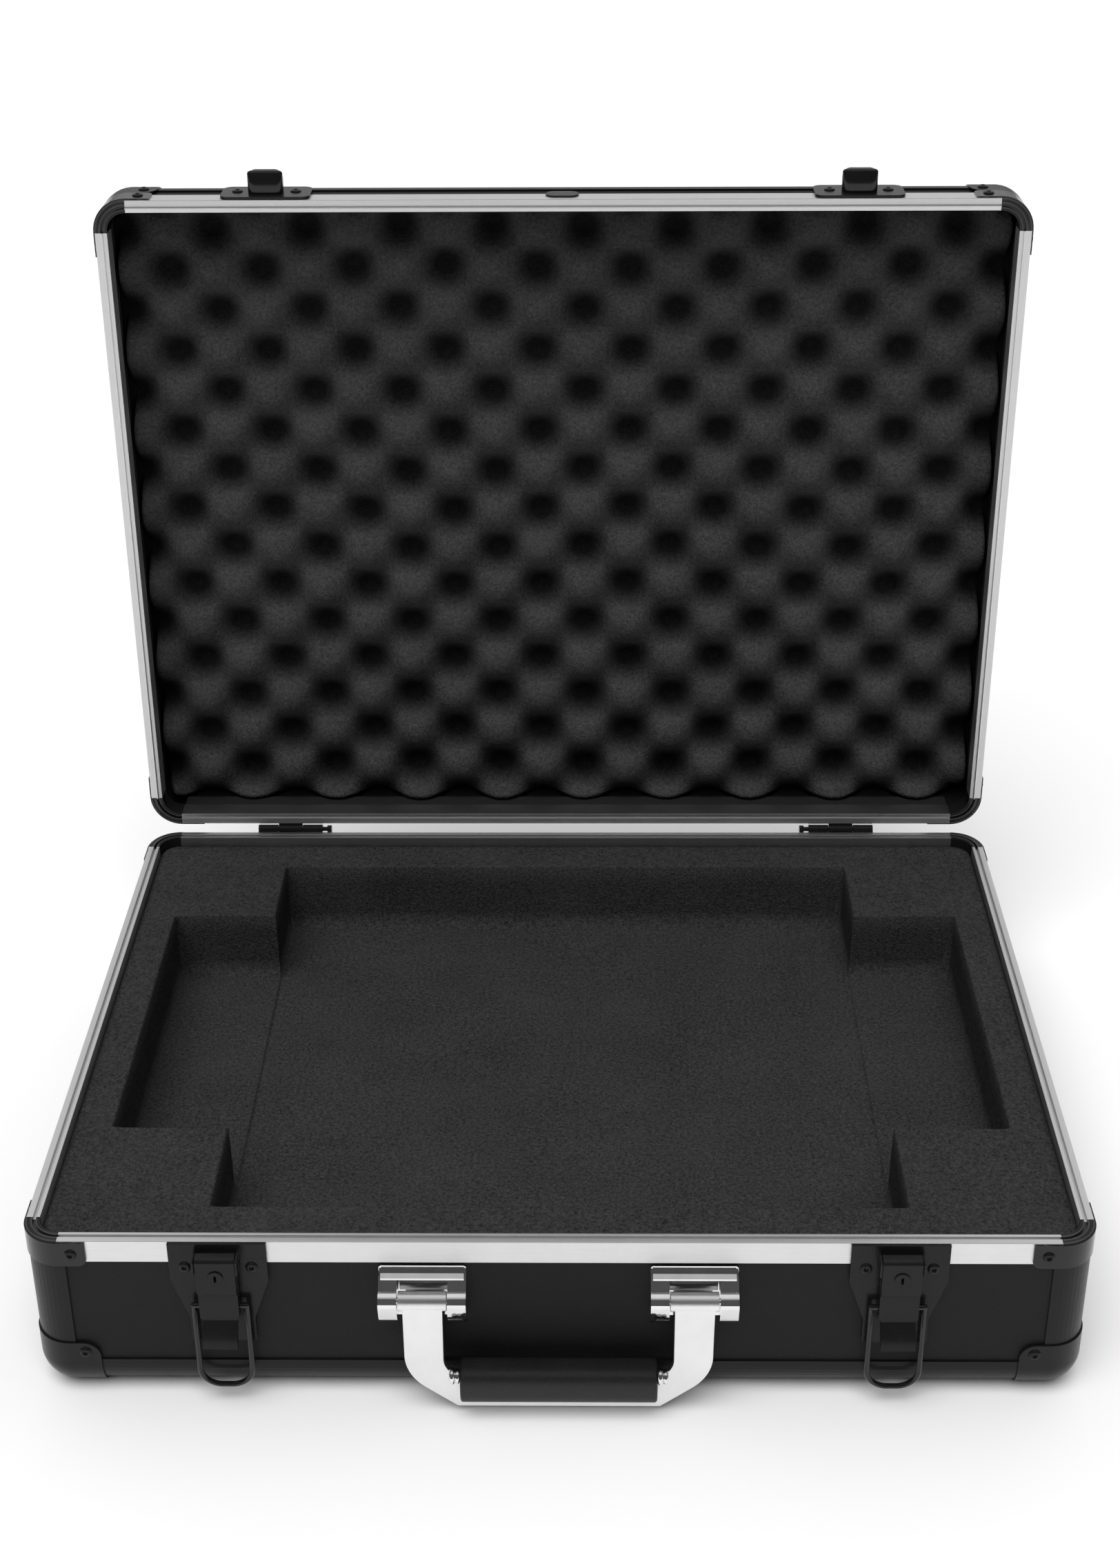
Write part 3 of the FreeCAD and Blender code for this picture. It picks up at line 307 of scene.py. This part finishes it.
def rail_finish(name, along):
    """Drawn silver anodised aluminium: long fine lines along the rail and a few faint scuffs."""
    finish = Finish(name, Metallic=1.0)
    stretch = [0.012 if axis == along else 1 for axis in "xyz"]
    lines = finish.noise(2600.0, 2.0, 0.7, stretch)
    broad = finish.noise(300.0, 2.0, 0.5, stretch)
    scuffs = finish.noise(60.0, 5.0, 0.7)
    finish.set(Base_Color=finish.shade(lines * 0.6 + scuffs * 0.4, [(0.3, grey(0.74)), (0.7, grey(0.86))]),
               Roughness=0.36 + lines * 0.14 + scuffs * 0.06)
    finish.bump(lines * 0.5 + broad, 0.03 * MM, 0.5)
    return finish.material


def satin_aluminium(name):
    """Handle frame: fine cross-blasted satin."""
    finish = Finish(name, Metallic=1.0)
    blast = finish.cells(2600.0)
    slow = finish.noise(35.0, 4.0, 0.6)
    finish.set(Base_Color=finish.shade(slow, [(0.3, grey(0.84)), (0.7, grey(0.93))]),
               Roughness=0.34 + slow * 0.1)
    finish.bump(blast, 0.03 * MM, 0.4)
    return finish.material


def chrome(name):
    """Bright plating with very faint waves and a few dull specks."""
    finish = Finish(name, Metallic=1.0)
    waves = finish.noise(120.0, 2.0, 0.5)
    specks = finish.noise(700.0, 3.0, 0.7)
    finish.set(Base_Color=finish.shade(waves, [(0.2, grey(0.80)), (0.8, grey(0.90))]),
               Roughness=0.05 + (specks > 0.68) * 0.12 + waves * 0.04)
    finish.bump(waves, 0.06 * MM, 0.3)
    return finish.material


def lacquer(name, shade, rough, ridges=None, coat=0.08):
    """Black lacquer on metal: orange peel, dust-fine specks, worn a little lighter in patches. Ridges is a
    function that gives their height and the faces that have them; there the crests get a painted highlight and the
    grooves painted shade."""
    finish = Finish(name, Specular_IOR_Level=0.18, Coat_Roughness=0.10, Coat_Weight=coat)
    peel = finish.noise(420.0, 2.0, 0.5)
    dust = finish.noise(1900.0, 2.0, 0.8)
    wear = finish.noise(28.0, 6.0, 0.7)
    colour = finish.shade(wear * 0.7 + dust * 0.3, [(0.3, grey(shade * 0.8)), (0.72, grey(shade * 1.35))])
    height, depth, strength = peel * 0.35 + dust * 0.1, 0.1 * MM, 0.35
    if ridges is not None:
        crest, on_rim = ridges(finish)
        # painted highlight on the ridges' crests and painted shade in their grooves, in the colour of the rim's
        # faces
        colour = finish.blend(on_rim, colour, finish.blend(crest, grey(0.001), grey(0.05)))
        height, depth, strength = height * 0.1 + crest, 1.4 * MM, 1.0
    finish.set(Base_Color=colour, Roughness=rough + peel * 0.1 + (wear - 0.5) * 0.16)
    finish.bump(height, depth, strength)
    return finish.material


def corner_rings(lid):
    """Concentric ridges: a sine of the distance to the corners' centres, where the two halves meet."""
    def height(finish):
        x, y, z = shut_axes(finish, lid)
        far_x = abs(x) - (-LEFT - CORNER_ROUND)
        far_y = abs(y) - (-FRONT - CORNER_ROUND)
        radius = (far_x * far_x + far_y * far_y) ** 0.5
        wave = finish.add("Math", {"operation": "SINE"}, {0: radius * (2 * math.pi / RING_STEP)})
        on_rim = abs(z - HINGE_Z) < RIM_FACE
        return (Wire(finish, wave.outputs[0]) * 0.5 + 0.5) * on_rim, on_rim
    return height


def grip_finish(name):
    """Moulded grip: fine leather grain with a soft gloss."""
    finish = Finish(name, Specular_IOR_Level=0.36)
    grain = finish.cells(900.0)
    fine = finish.noise(1800.0, 3.0, 0.7)
    slow = finish.noise(30.0, 3.0, 0.6)
    finish.set(Base_Color=finish.shade(slow * 0.6 + grain * 0.5, [(0.3, grey(0.008)), (0.8, grey(0.014))]),
               Roughness=0.40 + slow * 0.12)
    finish.bump(grain * 0.8 + fine * 0.2, 0.14 * MM, 0.55)
    return finish.material


BASE_FOAM = foam_finish("base foam", light=0.052, dark=0.012)
LID_PEAKS = shut(corners_of("lid_foam"))[:, 2].min()
LID_FOAM = foam_finish("lid foam", light=0.066, dark=0.024, pits=(LID_PEAKS, LID_PEAKS + PIT_DEPTH))
PANELS = {"base": panel_finish("base laminate", False), "lid": panel_finish("lid laminate", True)}
RAILS = {"across": rail_finish("rail drawn across", "x"),
         "deep": rail_finish("rail drawn along", "y"),
         "tall": rail_finish("rail drawn up", "z")}
EDGES = lacquer("edge anodised black", shade=0.006, rough=0.34)
CAPS = lacquer("corner cap black", shade=0.009, rough=0.28)
RIM_CORNERS = {
    "base": lacquer("base rim corner black", shade=0.008, rough=0.20, ridges=corner_rings(False), coat=0.4),
    "lid": lacquer("lid rim corner black", shade=0.008, rough=0.20, ridges=corner_rings(True), coat=0.4)}
HARDWARE = lacquer("hardware black", shade=0.008, rough=0.22)
WIRE = lacquer("wire black", shade=0.006, rough=0.12, coat=0.5)
RIVETS = lacquer("rivet black", shade=0.008, rough=0.18)
CHROME = chrome("bright plate")
ALUMINIUM = satin_aluminium("satin handle")
GRIP = grip_finish("grip grain")
BADGE = lacquer("badge grey", shade=0.04, rough=0.4)


def finish_for(node):
    """The finish of a CAD node, from its slot, its body and the way it runs."""
    slot, body = SLOT_OF[node], BODY_OF[node]
    if slot == "panel":
        return PANELS[body]
    if slot == "rail":
        if "left" in node or "right" in node:
            return RAILS["deep" if body == "base" else "tall"]
        return RAILS["across"]
    if slot == "corner_black":
        return RIM_CORNERS[body] if "rim" in node else CAPS
    return {"edge_black": EDGES, "hardware_black": HARDWARE, "wire_black": WIRE, "plug_black": HARDWARE,
            "rivet_black": RIVETS, "chrome_plate": CHROME, "handle_aluminium": ALUMINIUM,
            "grip_black": GRIP, "badge_grey": BADGE, "foam": BASE_FOAM}[slot]


for node, solid in NODES.items():
    solid.data.materials.clear()
    solid.data.materials.append(finish_for(node))


# ---- mesh helpers ------------------------------------------------------------

def grid_faces(rows, columns, start=0, wrap=False):
    """Quads of a grid whose vertices are numbered row by row; wrap joins the last column to the first."""
    index = np.arange(rows * columns).reshape(rows, columns) + start
    across = np.roll(index, -1, 1) if wrap else index[:, 1:]
    here = index if wrap else index[:, :-1]
    return np.stack([here[:-1], across[:-1], across[1:], here[1:]], -1).reshape(-1, 4)


def set_smooth(mesh, smooth):
    mesh.polygons.foreach_set("use_smooth", [smooth] * len(mesh.polygons))


def put_in_frame(name, mesh, body, replaced):
    """An object for a mesh, riding on a body; it stands for a CAD node where one is named."""
    piece = bpy.data.objects.new(name, mesh)
    bpy.context.scene.collection.objects.link(piece)
    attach(piece, body)
    if replaced:
        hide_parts(replaced)
    return piece


def new_piece(name, points, faces, body, material, replaced=None):
    """A smooth closed mesh from arrays: doubles merged at its poles and seams, faces turned outwards."""
    mesh = bpy.data.meshes.new(name)
    mesh.from_pydata(points.reshape(-1, 3).tolist(), [], [list(face) for face in faces])
    mesh.validate()
    sheet = bmesh.new()
    sheet.from_mesh(mesh)
    bmesh.ops.remove_doubles(sheet, verts=sheet.verts, dist=WELD)
    bmesh.ops.recalc_face_normals(sheet, faces=sheet.faces)
    sheet.to_mesh(mesh)
    sheet.free()
    set_smooth(mesh, True)
    mesh.materials.append(material)
    return put_in_frame(name, mesh, body, replaced)


def softened(node, radius, segments=2):
    """A copy of a CAD node with its sharp edges rounded, which stands for it."""
    name = node + "_rounded"
    mesh = NODES[node].data.copy()
    mesh.name = name
    sheet = bmesh.new()
    sheet.from_mesh(mesh)
    bmesh.ops.remove_doubles(sheet, verts=sheet.verts, dist=WELD)
    bmesh.ops.dissolve_limit(sheet, angle_limit=FLAT_ANGLE, verts=sheet.verts, edges=sheet.edges)
    sheet.to_mesh(mesh)
    sheet.free()
    set_smooth(mesh, True)
    piece = put_in_frame(name, mesh, BODY_OF[node], node)
    bevel = piece.modifiers.new("round", "BEVEL")
    bevel.width = radius
    bevel.segments = segments
    bevel.limit_method = "ANGLE"
    bevel.angle_limit = EDGE_ANGLE
    piece.modifiers.new("normals", "WEIGHTED_NORMAL")


# ---- foams -------------------------------------------------------------------

def smooth_step(value):
    value = np.clip(value, 0, 1)
    return value * value * (3 - 2 * value)


def build_lid_foam():
    """Egg-crate pad. The surface rises from the pits to the peaks as 1 - (1 - s) to a power, where s is
    (1 - cos(2 pi x / a) cos(2 pi y / b)) / 2, with a slow warp of x and y and a finely uneven height."""
    solid = shut(corners_of("lid_foam"))
    low, high = solid.min(0), solid.max(0)
    columns, rows = 271, 205
    x, y = np.meshgrid(np.linspace(low[0], high[0], columns), np.linspace(low[1], high[1], rows))
    warp = 1.2 * MM
    warp_x = warp * np.sin(y * 31 + 1.3) * np.sin(x * 23)
    warp_y = warp * np.sin(x * 27 + 0.4) * np.cos(y * 19)
    wave = (np.cos(2 * np.pi * (x + warp_x - PIT_PLACE[0]) / PIT_SPACING[0])
            * np.cos(2 * np.pi * (y + warp_y - PIT_PLACE[1]) / PIT_SPACING[1]))
    rise = 1 - (1 - (1 - wave) / 2) ** PIT_POWER
    uneven = 0.25 * MM * np.sin(x * 410 + np.sin(y * 170) * 2) * np.sin(y * 370 + np.sin(x * 150) * 2)
    z = low[2] + PIT_DEPTH * (1 - rise) + np.abs(uneven)
    pad = build_pad("lid_foam", low, high, x, y, z, high[2] - 1.0 * MM, LID_FOAM)


def rounded_corners(x, y, low, high, radius):
    """A rectangle's grid pulled in at its corners, so that its outline gets round ones. Points in a corner's
    square move towards the corner's centre by the ratio of the circle to the square in their direction."""
    centre_x = np.clip(x, low[0] + radius, high[0] - radius)
    centre_y = np.clip(y, low[1] + radius, high[1] - radius)
    off_x, off_y = x - centre_x, y - centre_y
    reach = np.hypot(off_x, off_y)
    square = np.maximum(np.abs(off_x), np.abs(off_y))
    ratio = np.where(reach > 1e-9, square / np.maximum(reach, 1e-9), 1.0)
    return centre_x + off_x * ratio, centre_y + off_y * ratio


def rim_of(grid):
    """The border of a grid as one ring of points."""
    return np.concatenate([grid[0, :-1], grid[:-1, -1], grid[-1, :0:-1], grid[:0:-1, 0]])


def build_pad(node, low, high, x, y, z, back, material):
    """A foam block: its worked surface with round upright corners, straight skirts round it and a flat back.
    The lid's is worked out for the closed case and then opened."""
    rows, columns = x.shape
    count = rows * columns
    x, y = rounded_corners(x, y, low, high, CORNER_ROUND - RIM_WALL)
    surface = np.stack([x, y, z], -1)
    rim = rim_of(surface)
    foot = rim.copy()
    foot[:, 2] = back
    points = np.concatenate([surface.reshape(-1, 3), rim, foot])
    faces = np.concatenate([grid_faces(rows, columns), grid_faces(2, len(rim), count, True)]).tolist()
    flat_back = list(range(count + len(rim), count + 2 * len(rim)))
    if BODY_OF[node] == "lid":
        points = opened(points)
    return new_piece(node + "_pad", points, faces + [flat_back], BODY_OF[node], material, node)


# places of the extra grid lines beside a wall of a cut-out, from outside it to inside
WALL_LINES = np.array([-3.0, -1.6, -0.9, -0.45, -0.2, 0.0, 0.18, 0.36, 0.6, 1.2]) * MM
LINE_STEP = 4 * MM


def fine_lines(low, high, walls):
    """Grid lines from low to high, a step apart, and close together at each wall."""
    lines = [np.linspace(low, high, max(2, int((high - low) / LINE_STEP)))]
    for wall, inward in walls:
        lines.append(wall + inward * WALL_LINES)
    merged = np.unique(np.round(np.concatenate(lines), 6))
    merged = merged[(merged >= low) & (merged <= high)]
    keep = np.concatenate([[True], np.diff(merged) > 0.05 * MM])
    return merged[keep]


def cut_depth(x, y, middle, half, depth):
    """Depth of a cut-out: a small lip and then a wall, each a smooth step of the signed distance to the
    outline of a rounded rectangle."""
    lip_depth, lip_width, wall_width = 1.1 * MM, 0.9 * MM, 0.55 * MM
    reach_x = np.abs(x - middle[0]) - half[0] + CUT_ROUND
    reach_y = np.abs(y - middle[1]) - half[1] + CUT_ROUND
    outside = np.hypot(np.maximum(reach_x, 0), np.maximum(reach_y, 0))
    distance = outside + np.minimum(np.maximum(reach_x, reach_y), 0) - CUT_ROUND
    lip = lip_depth * smooth_step((lip_width - distance) / lip_width) ** 2
    return lip + (depth - lip_depth) * smooth_step(-distance / wall_width)


def build_base_foam():
    """Cut foam block: its top less the deepest of the cut-outs' depths, slightly uneven, round at the edge."""
    low, high = (np.array(corner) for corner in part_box("base_foam"))
    sides = (-1, 1)
    x_walls = [(side * SEAT_HALF[0], -side) for side in sides]
    x_walls += [(side * POCKET_REACH, -side) for side in sides]
    x_walls += [(high[0], -1), (low[0], 1)]
    y_walls = [(-SEAT_HALF[1], 1), (SEAT_HALF[1], -1), (POCKET_FRONT, 1), (POCKET_BACK, -1),
               (high[1], -1), (low[1], 1)]
    x, y = np.meshgrid(fine_lines(low[0], high[0], x_walls), fine_lines(low[1], high[1], y_walls))
    wobble = 0.35 * MM * np.sin(x * 47 + 0.8) * np.sin(y * 39) + 0.2 * MM * np.sin(y * 133 + x * 71)

    overlap = 3 * MM
    pocket_inner = SEAT_HALF[0] - overlap
    pocket_middle = ((POCKET_REACH + pocket_inner) / 2, (POCKET_FRONT + POCKET_BACK) / 2)
    pocket_half = ((POCKET_REACH - pocket_inner) / 2, (POCKET_BACK - POCKET_FRONT) / 2)
    depths = [cut_depth(x, y, (0, 0), SEAT_HALF, SEAT_DEPTH)]
    depths += [cut_depth(x, y, (side * pocket_middle[0], pocket_middle[1]), pocket_half, POCKET_DEPTH)
               for side in sides]
    z = np.minimum(high[2] - np.maximum.reduce(depths) + wobble * 0.6, high[2])
    edge_drop, edge_width = 1.2 * MM, 1.6 * MM
    edge = np.minimum.reduce([x - low[0], high[0] - x, y - low[1], high[1] - y])
    z = z - edge_drop * (1 - smooth_step(edge / edge_width))
    pad = build_pad("base_foam", low, high, x, y, z, low[2] + 6 * MM, BASE_FOAM)


build_lid_foam()
build_base_foam()


# ---- rivets ------------------------------------------------------------------

def islands(name):
    """The separate solids of a node, each as an array of its points. Every point takes the lowest number of
    its triangles' points, again and again, until all points of a solid have the same one."""
    mesh = NODES[name].data
    places = corners_of(name)
    mesh.calc_loop_triangles()
    triangles = np.empty(len(mesh.loop_triangles) * 3, np.int32)
    mesh.loop_triangles.foreach_get("vertices", triangles)
    welded = np.round(places / WELD)
    _, first, number = np.unique(welded, axis=0, return_index=True, return_inverse=True)
    points = places[first]
    triangles = number.reshape(-1)[triangles].reshape(-1, 3)
    label = np.arange(len(points))
    while True:
        lowest = label.copy()
        np.minimum.at(lowest, triangles, label[triangles].min(1)[:, None])
        if (lowest == label).all():
            break
        label = lowest
    found = [points[label == value] for value in np.unique(label)]
    return sorted(found, key=lambda item: tuple(np.round(item.mean(0), 5)))


# profile of a pop rivet's head, from its foot over its rim into its hollow: shares of its radius and height
HEAD = np.array([(1.0, 0.0), (1.0, 0.22), (0.93, 0.55), (0.76, 0.85), (0.58, 1.0), (0.42, 0.98),
                 (0.36, 0.80), (0.34, 0.35), (0.30, 0.12), (0.0, 0.08)])


def build_rivets(node, middle):
    """Pop rivets: the head's profile turned about each CAD head's axis, a ring per profile point, facing away
    from the middle of its half of the case."""
    turns = 28
    angle = np.arange(turns) * 2 * np.pi / turns
    points, faces, start = [], [], 0
    for head in islands(node):
        low, high = head.min(0), head.max(0)
        size = high - low
        axis = int(np.argmin(size))
        radius, height = np.sort(size)[1] / 2, size[axis]
        centre = (low + high) / 2
        out = 1.0 if centre[axis] > middle[axis] else -1.0
        first, second = [index for index in range(3) if index != axis]
        ring = np.zeros((len(HEAD), turns, 3))
        ring[..., first] = centre[first] + HEAD[:, :1] * radius * np.cos(angle)
        ring[..., second] = centre[second] + HEAD[:, :1] * radius * np.sin(angle)
        ring[..., axis] = centre[axis] + out * (HEAD[:, 1:] - 0.5) * height
        points.append(ring.reshape(-1, 3))
        faces.append(grid_faces(len(HEAD), turns, start, True))
        start += len(HEAD) * turns
    new_piece(node + "_heads", np.concatenate(points), np.concatenate(faces).tolist(), BODY_OF[node],
              RIVETS, node)


build_rivets("base_rivets", BASE_MIDDLE)
build_rivets("lid_rivets", corners_of("lid_foam").mean(0))


# ---- handle grip -------------------------------------------------------------

def with_poles(grid):
    """A grid of rings, closed by one more ring at each end, drawn together at the end ring's middle."""
    poles = [np.broadcast_to(grid[end].mean(0), (1, *grid.shape[1:])) for end in (0, -1)]
    return np.concatenate([poles[0], grid, poles[1]])


def build_grip():
    """A rounded bar carried along x: a superellipse section, drawn in at both ends over a small round."""
    low, high = (np.array(corner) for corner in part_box("handle_grip"))
    centre, half = (low + high) / 2, (high - low) / 2
    turns, power = 72, 2 / 2.9
    angle = np.arange(turns) * 2 * np.pi / turns
    section_y = np.sign(np.cos(angle)) * np.abs(np.cos(angle)) ** power
    section_z = np.sign(np.sin(angle)) * np.abs(np.sin(angle)) ** power
    bend = np.linspace(0, np.pi / 2, 6)
    ends = half[0] - GRIP_END_ROUND + GRIP_END_ROUND * np.sin(bend)
    draw_in = GRIP_END_ROUND * (1 - np.cos(bend))
    along = np.concatenate([-ends[::-1], ends])
    shrink = np.concatenate([draw_in[::-1], draw_in])
    y = centre[1] + (half[1] - shrink)[:, None] * section_y
    z = centre[2] + (half[2] - shrink)[:, None] * section_z
    x = np.broadcast_to(along[:, None], y.shape)
    grid = with_poles(np.stack([x, y, z], -1))
    new_piece("handle_grip_moulding", grid, grid_faces(*grid.shape[:2], 0, True).tolist(), "handle",
              GRIP, "handle_grip")


def tube(path, radius, turns=16):
    """A round wire along a path in a plane x = constant: a ring per path point, square to the path, which
    closes to a point over the path's last steps."""
    ahead = np.gradient(path, axis=0)
    ahead /= np.linalg.norm(ahead, axis=1)[:, None]
    across = np.array([1.0, 0.0, 0.0])
    side = np.cross(ahead, across)
    angle = np.arange(turns) * 2 * np.pi / turns
    size = radius * np.sqrt(np.clip(1 - np.linspace(-1, 1, len(path)) ** 24, 0, 1))[:, None, None]
    ring = np.cos(angle)[:, None] * side[:, None, :] + np.sin(angle)[:, None] * across
    return path[:, None, :] + size * ring


def build_ferrules():
    """Chrome ends of the grip's strap: two curls of wire side by side, each three quarters of a circle, the
    smaller one on the positive side."""
    points, faces, start = [], [], 0
    turn = np.linspace(-0.35 * np.pi, 1.15 * np.pi, 34)
    apart, lift = 1.25 * MM, 0.9 * MM
    for ferrule in islands("grip_ferrules"):
        centre = (ferrule.min(0) + ferrule.max(0)) / 2
        for shift, size in ((-apart, 1.0), (apart, 0.8)):
            reach = FERRULE_CURL * size
            middle = centre + (shift, 0, lift * size)
            curl = np.stack([np.full_like(turn, middle[0]), middle[1] - reach * np.cos(turn),
                             middle[2] + reach * np.sin(turn)], -1)
            rings = tube(curl, FERRULE_WIRE)
            points.append(rings.reshape(-1, 3))
            faces.append(grid_faces(*rings.shape[:2], start, True))
            start += len(points[-1])
    new_piece("grip_ferrule_curls", np.concatenate(points), np.concatenate(faces).tolist(), "handle",
              CHROME, "grip_ferrules")


build_grip()
build_ferrules()


# ---- rounded hardware --------------------------------------------------------

for side in ("left", "right"):
    softened(f"handle_bracket_{side}", 0.8 * MM, 3)
    softened(f"latch_plate_{side}", 0.4 * MM)
    softened(f"latch_lever_{side}", 0.7 * MM, 3)
    softened(f"strike_{side}", 0.6 * MM, 3)
    for half in ("base", "lid"):
        softened(f"{half}_hinge_leaf_{side}", 0.25 * MM)
        softened(f"{half}_{side}_rail", 0.25 * MM)
for half in ("base", "lid"):
    for end in ("front", "back"):
        softened(f"{half}_{end}_rail", 0.25 * MM)
softened("handle_frame", 0.5 * MM, 3)
softened("lid_badge", 0.3 * MM)

for node in ("base_edge_strips", "lid_edge_strips", "corner_posts"):
    set_smooth(NODES[node].data, False)


# ---- hooks -------------------------------------------------------------------

def build_hook(side):
    """The hook's rolled underside: sections across it, each a curve that bulges by a root of 1 - v cubed from
    the plate (v = 0) to the tip (v = 1) and comes back flat, inside an outline with rounded sides."""
    solid = shut(corners_of(f"strike_{side}"))
    middle = (solid[:, 0].min() + solid[:, 0].max()) / 2
    root = FRONT - 0.8 * MM
    length = solid[:, 1].min() - root
    under = HINGE_Z + HOOK_UNDER
    u = 0.995 * np.sin(np.linspace(-np.pi / 2, np.pi / 2, 26))[:, None]
    v = np.sin(np.linspace(0, np.pi / 2, 16))
    outline = 0.72 + 0.28 * (1 - np.abs(u) ** 5) ** (1 / 5)
    y = root + length * outline * v
    x = middle + HOOK_WIDE / 2 * u + np.zeros_like(y)
    lower = under - HOOK_BULGE * (1 - np.abs(u) ** 6) ** 0.5 * np.sqrt(1 - v ** 3)
    upper = np.full_like(lower, under + 0.3 * MM)
    ring = np.concatenate([np.stack([x, y, lower], -1), np.stack([x, y, upper], -1)[:, ::-1]], 1)
    grid = with_poles(ring)
    new_piece(f"strike_roll_{side}", opened(grid), grid_faces(*grid.shape[:2], 0, True).tolist(), "lid",
              WIRE)


build_hook("left")
build_hook("right")


# ---- floor, light and camera -------------------------------------------------

FLOOR_REACH = 8.0
# the room's brightness at two values of height + ROOM_LEAN * depth: dim low in front, bright above and behind
ROOM = ((0.46, 0.08), (0.88, 0.74))
ROOM_LEAN = 0.6
BACKDROP = 1.0
LAMP_POWER = 2.45
LAMP_WIDTH = math.radians(50)
LAMP_TURN = (math.radians(27), 0, math.radians(-16))
CAMERA_PLACE = (13.09 * MM, -989.2 * MM, 772.2 * MM)
PITCH, YAW, ROLL = (math.radians(angle) for angle in (28.89, -0.78, -0.37))
LENS = 52.44


def build_stage():
    """A pale floor that runs on far behind the case."""
    finish = Finish("pale floor", Specular_IOR_Level=0.15)
    slow = finish.noise(3.0, 3.0, 0.5)
    finish.set(Base_Color=finish.shade(slow, [(0.3, grey(0.93)), (0.7, grey(0.95))]),
               Roughness=0.75 + slow * 0.1)
    square = [(-1, -1), (1, -1), (1, 1), (-1, 1)]
    mesh = bpy.data.meshes.new("floor")
    mesh.from_pydata([(x * FLOOR_REACH, y * FLOOR_REACH, 0) for x, y in square], [], [[0, 1, 2, 3]])
    mesh.materials.append(finish.material)
    floor = bpy.data.objects.new("floor", mesh)
    bpy.context.scene.collection.objects.link(floor)


def build_room():
    """A room that is dim in front and bright above and behind, seen by the camera as a plain backdrop."""
    world = bpy.data.worlds.new("studio")
    bpy.context.scene.world = world
    world.use_nodes = True
    nodes, links = world.node_tree.nodes, world.node_tree.links
    place = nodes.new("ShaderNodeTexCoord")
    split = nodes.new("ShaderNodeSeparateXYZ")
    lean = nodes.new("ShaderNodeMath")
    lean.operation = "MULTIPLY_ADD"
    lean.inputs[1].default_value = ROOM_LEAN
    ramp = nodes.new("ShaderNodeValToRGB")
    for element, (height, shade) in zip(ramp.color_ramp.elements, ROOM):
        element.position = height
        element.color = (shade, shade, shade, 1)
    path = nodes.new("ShaderNodeLightPath")
    seen = nodes.new("ShaderNodeMix")
    seen.data_type = "RGBA"
    seen.inputs[7].default_value = (BACKDROP, BACKDROP, BACKDROP, 1)
    links.new(place.outputs["Generated"], split.inputs[0])
    links.new(split.outputs[1], lean.inputs[0])
    links.new(split.outputs[2], lean.inputs[2])
    links.new(lean.outputs[0], ramp.inputs[0])
    links.new(ramp.outputs[0], seen.inputs[6])
    links.new(path.outputs["Is Camera Ray"], seen.inputs[0])
    links.new(seen.outputs[2], nodes["Background"].inputs[0])


def build_lamp():
    """One wide lamp from the front left, which metal doesn't mirror."""
    sun = bpy.data.lights.new("wide sun", "SUN")
    sun.energy = LAMP_POWER
    sun.angle = LAMP_WIDTH
    lamp = bpy.data.objects.new("wide sun", sun)
    lamp.rotation_euler = LAMP_TURN
    lamp.visible_glossy = False
    bpy.context.scene.collection.objects.link(lamp)


def build_camera():
    """A camera turned by its right, up and forward directions, which follow from pitch, yaw and roll."""
    level_x, level_y = math.cos(YAW), -math.sin(YAW)
    forward = np.array([-level_y * math.cos(PITCH), level_x * math.cos(PITCH), -math.sin(PITCH)])
    level = np.array([level_x, level_y, 0.0])
    upward = np.cross(level, forward)
    right = math.cos(ROLL) * level + math.sin(ROLL) * upward
    up = -math.sin(ROLL) * level + math.cos(ROLL) * upward
    data = bpy.data.cameras.new("camera")
    data.lens = LENS
    data.clip_start, data.clip_end = 0.02, 50
    camera = bpy.data.objects.new("camera", data)
    turn = Matrix(np.stack([right, up, -forward], 1).tolist()).to_4x4()
    camera.matrix_world = Matrix.Translation(CAMERA_PLACE) @ turn
    bpy.context.scene.collection.objects.link(camera)
    bpy.context.scene.camera = camera


build_stage()
build_room()
build_lamp()
build_camera()
bpy.context.scene.view_settings.view_transform = "Standard"
bpy.context.view_layer.update()
